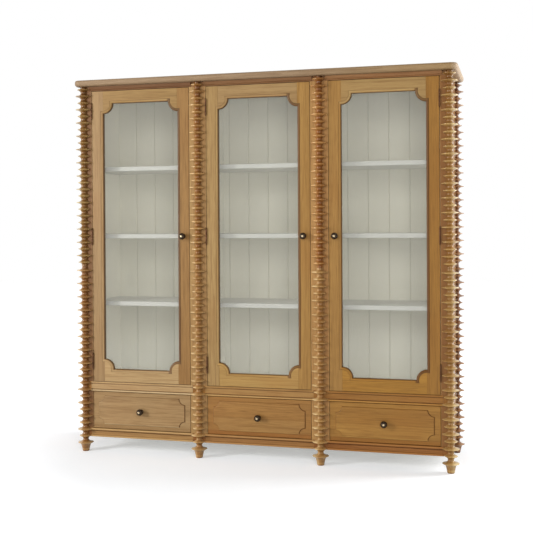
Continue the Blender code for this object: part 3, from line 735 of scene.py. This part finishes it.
# Lower edge, height, beads with a painted highlight, tones by bay, and the face as depth behind the case front
# and height
RAILS = {
    # The top rail's darker tones are partly painted shade under the top board's overhang
    "top_rail": (
        TOP_RAIL_Z, TOP_RAIL_HEIGHT, (), (srgb(112, 78, 51), srgb(121, 86, 55), srgb(130, 92, 57)),
        [(0.0, 0.0)] + half_round(0.0002, 0.0065, 0.0045, 6)
        + [(-0.0010, 0.0075), (-0.0035, 0.0115), (-0.0095, 0.0170), (-0.0130, 0.0225),
           (-0.0130, TOP_RAIL_HEIGHT)]),
    "middle_rail": (
        0.346, 0.0555, ((0.0032, 0.0106),), (srgb(164, 135, 94), srgb(156, 118, 68), srgb(142, 98, 44)),
        half_round(0.0, 0.0105, 0.0085, 9)
        + [(0.0030, 0.0110), (0.0030, 0.0132), (-0.0005, 0.0140), (-0.0005, 0.0422), (0.0030, 0.0430),
           (0.0030, 0.0452), (-0.0022, 0.0460), (-0.0022, 0.0540), (-0.0008, 0.0555)]),
    "bottom_rail": (
        CASE_BOTTOM_Z, 0.050, ((0.0415, 0.0502), (0.0, 0.0100)),
        (srgb(148, 112, 66), srgb(138, 97, 52), srgb(127, 81, 36)),
        [(-0.0015, 0.0), (-0.0050, 0.0015), (-0.0055, 0.0085), (-0.0040, 0.0105), (0.0008, 0.0120),
         (0.0008, 0.0320), (0.0034, 0.0326), (0.0034, 0.0348)] + half_round(0.0355, 0.0500, 0.0090, 9)),
}


def make_rails():
    """Each rail as a moulded run in each bay and plain laps behind the posts."""
    for number, (name, (low_z, height, painted_highlight, tones, face)) in enumerate(RAILS.items()):
        section = [(FRAME_THICKNESS, 0.0)] + face + [(FRAME_THICKNESS, height)]
        outline = [(FRONT_Y + depth, low_z + up) for depth, up in section]
        for index, bay in enumerate(BAYS):
            wood = Pine(f"{name}_{bay}_pine", "X", tones[index], 21.0 + number * 3 + index * 0.41)
            # Painted shade in the rail's recesses
            wood.painted_recess_shade(0.0009, 0.0026)
            # Painted highlights on the rail's beads
            for low, high in painted_highlight:
                wood.painted_bead_highlight(low_z + low, low_z + high)
            material = wood.finish()
            start = POST_XS[index] + STILE_HALF - RAIL_END
            end = POST_XS[index + 1] - STILE_HALF + RAIL_END
            moulded = prism(outline, start, end, "YZ")
            piece = add_mesh(f"{name}_{bay}_moulding", moulded, "case", material, 30)
            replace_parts(piece, name)
        reach = STILE_HALF - RAIL_END - FIT
        for index, x in enumerate(POST_XS):
            low = (max(x - reach, -CASE_HALF), FRONT_Y + FIT, low_z)
            high = (min(x + reach, CASE_HALF), FRONT_Y + FRAME_THICKNESS / 2, low_z + height)
            lap = board(f"{name}_lap_{index + 1}", low, high, "case", "frame_pine", material, 0.0005)
            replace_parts(lap, name)


# Hardware
KNOB_BALL_R = 0.0184
KNOB_BALL_HALF = 0.0159
KNOB_BALL_CENTRE = 0.0242
KNOB_BALL_FACETS = 16
KNOB_NECK_ANGLE = 1.16
# Radius and distance from the wood of the ringed neck and the rose
KNOB_NECK = [(0.0066, 0.0086), (0.0080, 0.0078), (0.0084, 0.0070), (0.0074, 0.0062)]
KNOB_ROSE = [(0.0112, 0.0056), (0.0130, 0.0046), (0.0134, 0.0036), (0.0134, 0.0009), (0.0130, FIT)]

HINGE_HALF = 0.0425
HINGE_Y = FRONT_Y - 0.0045
HINGE_BARREL_R = 0.0040
HINGE_LEAF = 0.00075
HINGE_LEAF_GAP = 0.00015
# Radius and height above the barrel, from the tip down
HINGE_FINIAL = [(0.0006, 0.0062), (0.0022, 0.0054), (0.0030, 0.0038), (0.0024, 0.0022), (0.0018, 0.0014),
                (0.0032, 0.0008), (0.0034, 0.0002)]


def make_knob(name, location, body):
    """Rose, ringed neck and ball, turned about an axis that points forwards."""
    profile = []
    for step in range(KNOB_BALL_FACETS + 1):
        angle = QUARTER - (QUARTER + KNOB_NECK_ANGLE) * step / KNOB_BALL_FACETS
        out = KNOB_BALL_CENTRE + KNOB_BALL_HALF * math.sin(angle)
        profile.append((max(KNOB_BALL_R * math.cos(angle), 0.0002), out))
    vertices, faces = lathe(profile + KNOB_NECK + KNOB_ROSE, 0.0, FULL_TURN, 32)
    forwards = [(x, -z, y) for x, y, z in vertices], faces
    piece = add_mesh(f"{name}_turned", forwards, body, BRONZE, 35, location)
    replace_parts(piece, name)


def make_hinge(bay, position, x, z, side):
    """Barrel of three knuckles on a pin with finials, a leaf on the case and a leaf on the door."""
    node = f"hinge_{bay}_{position}"
    door = f"door_{bay}"
    knuckles = ((-HINGE_HALF, -0.0150, "case"), (-0.0146, 0.0146, door), (0.0150, HINGE_HALF, "case"))
    ease = 0.0007
    for number, (z0, z1, body) in enumerate(knuckles):
        profile = [(0.0034, z1), (HINGE_BARREL_R, z1 - ease), (HINGE_BARREL_R, z0 + ease), (0.0034, z0)]
        barrel = lathe(profile, 0.0, FULL_TURN, 16)
        label = f"{node}_knuckle_{number + 1}"
        piece = add_mesh(label, barrel, body, HINGE_BRONZE, 35, (x, HINGE_Y, z))
        if body == "case":
            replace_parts(piece, node)
    for end, up in (("top", 1), ("bottom", -1)):
        profile = [(radius, up * height) for radius, height in HINGE_FINIAL[::up]]
        finial = lathe(profile, 0.0, FULL_TURN, 14)
        at = (x, HINGE_Y, z + up * HINGE_HALF)
        add_mesh(f"{node}_finial_{end}", finial, "case", HINGE_BRONZE, 35, at)
    for label, body, way in (("case_leaf", "case", side), ("door_leaf", door, -side)):
        x0, x1 = sorted((x + way * HINGE_LEAF_GAP, x + way * (HINGE_LEAF + HINGE_LEAF_GAP)))
        low, high = (x0, FRONT_Y + 0.0001, z - HINGE_HALF), (x1, FRONT_Y + 0.0200, z + HINGE_HALF)
        piece = board(f"{node}_{label}", low, high, body, "bronze", HINGE_BRONZE, 0.0002)
        if body == "case":
            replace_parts(piece, node)


# Doors
HINGE_SIDES = (-1, -1, 1)
HINGE_INSET = 0.115
DOOR_THICKNESS = 0.026
DOOR_Z = 0.4035
DOOR_TOP_Z = 2.066
DOOR_MIDDLE_Z = (DOOR_Z + DOOR_TOP_Z) / 2
DOOR_STILE = 0.069
DOOR_RAIL = 0.072
DOOR_SIDE_GAP = 0.0024
GLASS_SEAT = 0.016
GLASS_REBATE = 0.009
BEAD_WIDTH = 0.008
BEAD_SEAT = 0.0050
BEAD_CLEARANCE = 0.0006
DOOR_TONES = [dict(zip(("left", "right", "top", "bottom"), tones)) for tones in (
    (srgb(147, 118, 80), srgb(129, 95, 52), srgb(139, 110, 66), srgb(158, 130, 89)),
    (srgb(144, 115, 71), srgb(146, 110, 57), srgb(142, 114, 74), srgb(165, 131, 75)),
    (srgb(145, 108, 56), srgb(133, 93, 38), srgb(151, 122, 76), srgb(143, 102, 40)),
)]
# Depths behind the case front between which painted shade darkens a member's moulding
MOULDING_SHADE_DEPTHS = {
    "left": (0.0010, 0.0052), "right": (-0.0020, 0.0004), "top": (0.0008, 0.0052), "bottom": (0.0005, 0.0042),
}

# The moulded edge of the glass opening, round a lobe in each corner; the rail ends at a seam on the lobe
SCOOP_R = 0.057
SCOOP_FACETS = 14
SEAM_FACETS = 4
SEAM = 0.0001
MOULDING_WIDTH = 0.015
OVOLO_DEPTH = 0.009
OVOLO_FACETS = 8
SEAM_SPREAD = math.asin(MOULDING_WIDTH / (SCOOP_R - MOULDING_WIDTH))
SEAM_SHARE = 1 - SEAM_SPREAD / (QUARTER + 2 * SEAM_SPREAD)
ROUND_LOBE = [step / SCOOP_FACETS for step in range(SCOOP_FACETS + 1)]
TO_SEAM = [SEAM_SHARE * share for share in ROUND_LOBE]
PAST_SEAM = [SEAM_SHARE + (1 - SEAM_SHARE) * step / SEAM_FACETS for step in range(SEAM_FACETS + 1)]


def moulding_section():
    """Section of the opening's edge: distance into the wood and depth from the face."""
    wide = MOULDING_WIDTH - 2 * SEAM
    round_from = wide - 0.0026
    section = [(wide, 0.0018), (wide - 0.0016, 0.0018)]
    for step in range(OVOLO_FACETS + 1):
        angle = QUARTER * step / OVOLO_FACETS
        section.append((round_from * (1 - math.sin(angle)), OVOLO_DEPTH * (1 - math.cos(angle))))
    section += [(0.0, GLASS_SEAT), (GLASS_REBATE, GLASS_SEAT)]
    return section + [(GLASS_REBATE, DOOR_THICKNESS), (wide, DOOR_THICKNESS)]


class Opening:
    """The glass opening of a door, with sides -1 and 1 on each axis."""

    def __init__(self, low, high):
        self.x = {-1: low + DOOR_STILE, 1: high - DOOR_STILE}
        self.z = {-1: DOOR_Z + DOOR_RAIL, 1: DOOR_TOP_Z - DOOR_RAIL}

    def edge(self, side_x, side_z, share, inset=MOULDING_WIDTH):
        """A point round a corner's lobe, from the rail (share 0) to the stile (1), set into the wood."""
        radius = SCOOP_R - inset
        spread = math.asin(inset / radius)
        angle = -spread + (QUARTER + 2 * spread) * share
        x = self.x[side_x] - side_x * radius * math.cos(angle)
        return x, self.z[side_z] - side_z * radius * math.sin(angle)

    def moulding(self, stations):
        """The moulded edge along a run of (side, side, share) stations."""
        loops = []
        for station in stations:
            points = [(self.edge(*station, inset), depth) for inset, depth in moulding_section()]
            loops.append([(x, FRONT_Y + depth, z) for (x, z), depth in points])
        return loft(loops)


def add_member(name, body, grain, tone, seed, outline, edge, shade_depths, right_of=None):
    """A stile or a rail of a door and the moulding along its side of the opening."""
    # Painted shade on the member's sides, for the gaps beside it
    wood = Pine(f"{name}_pine", grain, tone, seed).painted_edge_shade().finish()
    plain = prism(outline, FRONT_Y, FRONT_Y + DOOR_THICKNESS, "XZ")
    piece = add_mesh(f"{name}_board", plain, body, wood, 30)
    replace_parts(soften(piece, 0.0006), name)
    edge_wood = Pine(f"{name}_moulding_pine", grain, tinted(tone, 1.08), seed + 2.0)
    # Painted shade deep in the moulding
    edge_wood.painted_recess_shade(*shade_depths, MOULDING_SHADE, right_of)
    piece = add_mesh(f"{name}_moulding", edge, body, edge_wood.finish(), 40)
    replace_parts(piece, name)


def make_door_stiles(index, body, low, high, opening):
    for k, (side, label, outer) in enumerate(((-1, "left", low), (1, "right", high))):
        kind = "hinge_stile" if side == HINGE_SIDES[index] else "lock_stile"
        inner = opening.x[side]
        outline = [(outer, DOOR_Z), (inner, DOOR_Z)]
        outline += [opening.edge(side, -1, share) for share in PAST_SEAM]
        outline += [opening.edge(side, 1, share) for share in reversed(PAST_SEAM)]
        outline += [(inner, DOOR_TOP_Z), (outer, DOOR_TOP_Z)]
        edge = opening.moulding([(side, -1, 1.0), (side, 1, 1.0)])
        seed = 41.0 + index * 5.3 + k * 2.1
        tone = DOOR_TONES[index][label]
        add_member(f"{body}_{kind}", body, "Z", tone, seed, outline, edge, MOULDING_SHADE_DEPTHS[label])


def make_door_rails(index, body, opening):
    x0, x1 = opening.x[-1] + 2 * SEAM, opening.x[1] - 2 * SEAM
    for k, (side, label, outer) in enumerate(((1, "top", DOOR_TOP_Z), (-1, "bottom", DOOR_Z))):
        left = [opening.edge(-1, side, share) for share in TO_SEAM]
        right = [opening.edge(1, side, share) for share in reversed(TO_SEAM)]
        outline = [(x0, outer), (x1, outer)] + [(min(x, x1), z) for x, z in right]
        outline += [(max(x, x0), z) for x, z in left]
        stations = [(-1, side, share) for share in reversed(ROUND_LOBE)]
        edge = opening.moulding(stations + [(1, side, share) for share in ROUND_LOBE])
        seed = 61.0 + index * 4.7 + k * 1.9
        tone = DOOR_TONES[index][label]
        # Painted shade on the moulding, heavier round the right-hand lobe
        shade_depths, right_of = MOULDING_SHADE_DEPTHS[label], opening.x[1] - SCOOP_R
        add_member(f"{body}_{label}_rail", body, "X", tone, seed, outline, edge, shade_depths, right_of)


def make_glazing_beads(bay, opening, tone):
    """Four thin strips that hold the glass from behind."""
    wood = Pine(f"door_{bay}_bead_pine", "Z", tinted(tone, 0.75), 81.0 + len(bay)).finish()
    near = FRONT_Y + GLASS_SEAT + BEAD_SEAT
    far = FRONT_Y + DOOR_THICKNESS - BEAD_CLEARANCE
    reach = GLASS_REBATE - BEAD_CLEARANCE
    x0, x1 = opening.x[-1] - reach, opening.x[1] + reach
    z0, z1 = opening.z[-1] - reach, opening.z[1] + reach
    inner_x0, inner_x1 = x0 + BEAD_WIDTH, x1 - BEAD_WIDTH
    strips = (
        ("left", (x0, near, z0), (inner_x0, far, z1)), ("right", (inner_x1, near, z0), (x1, far, z1)),
        ("bottom", (inner_x0 + FIT, near, z0), (inner_x1 - FIT, far, z0 + BEAD_WIDTH)),
        ("top", (inner_x0 + FIT, near, z1 - BEAD_WIDTH), (inner_x1 - FIT, far, z1)),
    )
    for side, low, high in strips:
        board(f"door_{bay}_glazing_bead_{side}", low, high, f"door_{bay}", "door_pine", wood, 0.0015)


def make_door(bay, index):
    body = f"door_{bay}"
    hinge_side = HINGE_SIDES[index]
    low = POST_XS[index] + STILE_HALF + DOOR_SIDE_GAP
    high = POST_XS[index + 1] - STILE_HALF - DOOR_SIDE_GAP
    opening = Opening(low, high)
    make_door_stiles(index, body, low, high, opening)
    make_door_rails(index, body, opening)
    dress(f"{body}_glass", GLASS)
    make_glazing_beads(bay, opening, DOOR_TONES[index]["left"])
    lock_x = high - DOOR_STILE / 2 if hinge_side < 0 else low + DOOR_STILE / 2
    make_knob(f"{body}_knob", (lock_x, FRONT_Y, DOOR_MIDDLE_Z), body)
    pivot_x = low - DOOR_SIDE_GAP / 2 if hinge_side < 0 else high + DOOR_SIDE_GAP / 2
    heights = (DOOR_Z + HINGE_INSET, DOOR_MIDDLE_Z, DOOR_TOP_Z - HINGE_INSET)
    for position, z in zip(("bottom", "middle", "top"), heights):
        make_hinge(bay, position, pivot_x, z, hinge_side)


# Drawers
DRAWER_SIDE_GAP = 0.002
DRAWER_Z = 0.136
DRAWER_TOP_Z = 0.344
DRAWER_MIDDLE_Z = (DRAWER_Z + DRAWER_TOP_Z) / 2
FIELD_MARGIN_X = 0.032
FIELD_MARGIN_Z = 0.022
FIELD_RISE = 0.0045
FIELD_SCOOP_R = 0.034
FIELD_SCOOP_FACETS = 10
# Distance in from the outline and height above the front
FIELD_EDGE = ((0.0, 0.0001), (0.0004, 0.0012), (0.0024, 0.0034), (0.0044, 0.0043), (0.0060, FIELD_RISE))
# The field is glued up of two boards
FIELD_JOINT_Z = DRAWER_MIDDLE_Z - 0.010
FIELD_JOINT_BLEND = 0.0015
BOX_TONE = srgb(194, 160, 108)
# Tone, factors on it at the foot of the front, factor for the field and factors for its lower board
DRAWER_WOODS = (
    (srgb(141, 113, 75), (0.92, 0.87, 0.80), 1.03, (1.04, 1.05, 1.07)),
    (srgb(142, 102, 52), (0.84, 0.70, 0.55), 0.97, (1.15, 1.24, 1.42)),
    (srgb(142, 102, 46), (0.86, 0.74, 0.60), 0.99, (1.13, 1.18, 1.26)),
)


def scooped_outline(x0, x1, z0, z1, inset):
    """A rectangle with a quarter scooped out of each corner, drawn in by inset."""
    radius = FIELD_SCOOP_R + inset
    turn = math.asin(inset / radius)
    points = []
    for number, centre in enumerate(((x0, z0), (x1, z0), (x1, z1), (x0, z1))):
        start, end = (number + 1) * QUARTER - turn, number * QUARTER + turn
        points += arc(centre, radius, start, end, FIELD_SCOOP_FACETS)
    return points


def raised_field(x0, x1, z0, z1):
    """The field of a drawer front: scooped corners and a sloped, rounded edge."""
    outlines = [(scooped_outline(x0, x1, z0, z1, inset), FRONT_Y - rise) for inset, rise in FIELD_EDGE]
    return loft([[(x, y, z) for x, z in outline] for outline, y in outlines])


def make_drawer(bay, index):
    body = f"drawer_{bay}"
    low = POST_XS[index] + STILE_HALF + DRAWER_SIDE_GAP
    high = POST_XS[index + 1] - STILE_HALF - DRAWER_SIDE_GAP
    tone, foot_factors, field_factor, lower_board = DRAWER_WOODS[index]
    wood = Pine(f"{body}_front_pine", "X", tinted(tone, 1.02), 101.0 + index * 3.3)
    # Painted shade on the front's sides, for the gaps round it
    wood.zone(2, DRAWER_Z + 0.028, DRAWER_Z + 0.018, foot_factors).painted_edge_shade()
    corners = (low, FRONT_Y, DRAWER_Z), (high, FRONT_Y + FRAME_THICKNESS, DRAWER_TOP_Z)
    front = board(f"{body}_front_board", *corners, body, "drawer_pine", wood.finish(), 0.0018)
    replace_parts(front, f"{body}_front")
    right, bottom = high - FIELD_MARGIN_X, DRAWER_Z + FIELD_MARGIN_Z
    shape = raised_field(low + FIELD_MARGIN_X, right, bottom, DRAWER_TOP_Z - FIELD_MARGIN_Z)
    wood = Pine(f"{body}_field_pine", "X", tinted(tone, field_factor), 111.0 + index * 2.7, figure=1.25)
    wood.zone(2, FIELD_JOINT_Z + FIELD_JOINT_BLEND, FIELD_JOINT_Z - FIELD_JOINT_BLEND, lower_board)
    # Painted shade on the field's sloped edge, heavier towards the right
    wood.painted_recess_shade(-0.00445, -0.0030, across=(right - 0.118, right - FIELD_SCOOP_R))
    # Painted highlight along the field's lower edge
    wood.painted_bead_highlight(bottom, bottom + 0.0060)
    field = add_mesh(f"{body}_raised_field", shape, body, wood.finish(), 30)
    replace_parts(field, f"{body}_front")
    make_knob(f"{body}_knob", ((low + high) / 2, FRONT_Y - FIELD_RISE, DRAWER_MIDDLE_Z), body)
    dress(f"{body}_box", Pine(f"{body}_box_pine", "Y", BOX_TONE, 121.0 + index).finish(0.6))


# Case boards
PAINT_TONE = srgb(231, 226, 209)
# The walls are painted paler than the back: painted light, for walls that take less lamp light
WALL_TONE = srgb(248, 243, 229)
# The shelf tops are painted paler than their front edges: painted light for tops that take less lamp light
SHELF_TONE = srgb(211, 208, 201)
SHELF_EDGE_TONE = srgb(195, 192, 186)
BACK_TONE = srgb(170, 137, 89)
SIDE_TONE = srgb(162, 121, 73)
BACK_PAINT_Y = BACK_Y - 0.004
BACK_GROOVE_YS = (BACK_Y - 0.0136, BACK_Y - 0.0112)
SIDE_PAINT_X = CASE_HALF - SIDE_THICKNESS + 0.0002
# Tone, the side of its post where its shadow is painted and how strongly
FACE_STILES = {
    "corner_stile_left": (srgb(133, 102, 63), 1, 0.90),
    "middle_stile_left": (srgb(152, 121, 76), 1, 0.40),
    "middle_stile_right": (srgb(156, 119, 71), 1, 0.50),
    "corner_stile_right": (srgb(145, 107, 60), -1, 0.68),
}


def make_shelf(name, material):
    """A shelf with its edges eased, in the place of its CAD node."""
    mesh = NODES[name].data.copy()
    shape = bmesh.new()
    shape.from_mesh(mesh)
    bmesh.ops.remove_doubles(shape, verts=shape.verts, dist=1e-5)
    bmesh.ops.dissolve_limit(shape, angle_limit=math.radians(1), verts=shape.verts, edges=shape.edges)
    shape.to_mesh(mesh)
    shape.free()
    mesh.materials.clear()
    piece = place(f"{name}_eased", mesh, "case", material, 30)
    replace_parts(soften(piece, 0.0020), name)


def make_case_boards():
    shelf_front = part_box("shelf_lower")[0][1]
    shelf_paint = paint("shelf_paint", SHELF_TONE, 5.0, shelf_front, SHELF_EDGE_TONE)
    for name in ("shelf_lower", "shelf_middle", "shelf_upper"):
        make_shelf(name, shelf_paint)
    dress("deck", paint("deck_paint", PAINT_TONE, 9.0))
    dress("bottom_board", paint("bottom_paint", PAINT_TONE, 10.0))
    back = half_painted("back_panel_paint", BACK_TONE, PAINT_TONE, 13.0, 1, BACK_PAINT_Y, BACK_GROOVE_YS)
    dress("back_panel", back)
    for number, side in enumerate(("left", "right")):
        dress(f"partition_{side}", paint(f"partition_paint_{side}", WALL_TONE, 11.0 + number))
        name = f"side_panel_{side}"
        dress(name, half_painted(f"{name}_finish", SIDE_TONE, WALL_TONE, 14.0 + number, 0, SIDE_PAINT_X))
    for number, (name, (tone, shadow_side, strength)) in enumerate(FACE_STILES.items()):
        # Painted shade on the stile's sides and a painted shadow beside its post
        wood = Pine(f"{name}_pine", "Z", tone, 17.0 + number * 1.7).painted_edge_shade()
        dress(name, wood.painted_shadow_beside(POST_XS[number], shadow_side, strength).finish())


# Camera: from in front and to the right, a little over half height
CAMERA_AT = (1.402, FRONT_Y - 4.978, 1.297)
CAMERA_YAW = math.radians(15.140)
CAMERA_PITCH = math.radians(-0.368)
CAMERA_ROLL = math.radians(-0.336)
IMAGE_PX = 533
FOCAL_PX = 944.1
CENTRE_PX = (266.9, 230.2)


def add_camera():
    level = math.cos(CAMERA_PITCH)
    ahead = Vector((-math.sin(CAMERA_YAW) * level, math.cos(CAMERA_YAW) * level, math.sin(CAMERA_PITCH)))
    right = Vector((math.cos(CAMERA_YAW), math.sin(CAMERA_YAW), 0.0))
    up = right.cross(ahead)
    cosine, sine = math.cos(CAMERA_ROLL), math.sin(CAMERA_ROLL)
    right, up = cosine * right + sine * up, cosine * up - sine * right
    data = bpy.data.cameras.new("camera")
    data.sensor_width = 36.0
    data.lens = FOCAL_PX / IMAGE_PX * data.sensor_width
    middle = (IMAGE_PX - 1) / 2
    data.shift_x = (middle - CENTRE_PX[0]) / IMAGE_PX
    data.shift_y = (CENTRE_PX[1] - middle) / IMAGE_PX
    camera = bpy.data.objects.new("camera", data)
    turn = Matrix((right, up, -ahead)).transposed().to_4x4()
    camera.matrix_world = Matrix.Translation(CAMERA_AT) @ turn
    bpy.context.scene.collection.objects.link(camera)
    bpy.context.scene.camera = camera


# Light and stage
CASE_MIDDLE = (0.0, 0.0, 1.1)
# Place, target, size in metres, power in watts and whether it shows in glossy surfaces
LAMPS = {
    "key_left": ((-4.4, -3.7, 1.9), CASE_MIDDLE, (1.0, 2.4), 232.0, True),
    "glint_right": ((2.7, -5.6, 1.4), CASE_MIDDLE, (1.1, 1.1), 67.0, True),
    "fill_front": ((0.6, -5.8, 3.3), CASE_MIDDLE, (5.0, 2.0), 122.0, False),
    "rim_right": ((3.5, 0.9, 1.9), (1.03, 0.0, 1.2), (1.0, 2.4), 95.0, True),
}
WORLD_LEVEL = 0.34
FLOOR_REACH = 14.0
FLOOR_Z = -0.0005
FLOOR_TONES = ((0.740, 0.760, 0.785), (0.760, 0.780, 0.805))


def add_lamp(name, location, target, size, power, mirrored):
    """A rectangular lamp; a mirrored one leaves out the panes, where it would show as a hard panel."""
    data = bpy.data.lights.new(name, "AREA")
    data.shape = "RECTANGLE"
    data.size, data.size_y = size
    data.energy = power
    lamp = bpy.data.objects.new(name, data)
    lamp.location = location
    lamp.rotation_euler = (Vector(target) - Vector(location)).to_track_quat("-Z", "Y").to_euler()
    lamp.visible_glossy = mirrored
    bpy.context.scene.collection.objects.link(lamp)
    if mirrored:
        unlit = bpy.data.collections.new(f"{name}_unlit")
        for bay in BAYS:
            unlit.objects.link(NODES[f"door_{bay}_glass"])
        for member in unlit.collection_objects:
            member.light_linking.link_state = "EXCLUDE"
        lamp.light_linking.receiver_collection = unlit


def plainly_seen(tree):
    """One for a ray from the camera, and for one that is mirrored or let through on its way."""
    path = tree.add("ShaderNodeLightPath")
    mirrored = tree.math("MAXIMUM", path.outputs["Is Glossy Ray"], path.outputs["Is Transmission Ray"])
    return tree.math("MAXIMUM", path.outputs["Is Camera Ray"], mirrored)


def add_floor():
    """Pale floor that keeps the shadow near the case and fades to white away from it."""
    tree = new_material("floor_white")
    grain = tree.noise(tree.position, 3.0, detail=2.0)
    pale = tree.ramp(grain, (0.3, FLOOR_TONES[0]), (0.7, FLOOR_TONES[1]))
    diffuse = tree.add("ShaderNodeBsdfDiffuse", {"Color": pale})
    away = tree.span(tree.length(tree.position), 1.1, 2.4, 0.31, 0.80)
    glow = tree.add("ShaderNodeEmission", {"Strength": tree.times(plainly_seen(tree), away)})
    tree.show(tree.add("ShaderNodeAddShader", {0: diffuse, 1: glow}))
    mesh = bpy.data.meshes.new("floor")
    corners = [(-FLOOR_REACH, -FLOOR_REACH), (FLOOR_REACH, -FLOOR_REACH), (FLOOR_REACH, FLOOR_REACH),
               (-FLOOR_REACH, FLOOR_REACH)]
    mesh.from_pydata([(x, y, 0.0) for x, y in corners], [], [(0, 1, 2, 3)])
    mesh.materials.append(tree.owner)
    floor = bpy.data.objects.new("floor", mesh)
    floor.location = (0.0, 0.0, FLOOR_Z)
    bpy.context.scene.collection.objects.link(floor)


def add_world():
    world = bpy.data.worlds.new("studio")
    bpy.context.scene.world = world
    tree = Tree(world, "Background")
    tree.set("Color", (1.0, 1.0, 1.0))
    tree.set("Strength", tree.span(plainly_seen(tree), 0.0, 1.0, WORLD_LEVEL, 1.0))


make_posts()
make_top_board()
make_rails()
make_case_boards()
for bay_index, bay_name in enumerate(BAYS):
    make_door(bay_name, bay_index)
    make_drawer(bay_name, bay_index)

add_camera()
add_floor()
add_world()
for lamp_name, lamp_values in LAMPS.items():
    add_lamp(lamp_name, *lamp_values)
bpy.context.scene.view_settings.view_transform = "Standard"
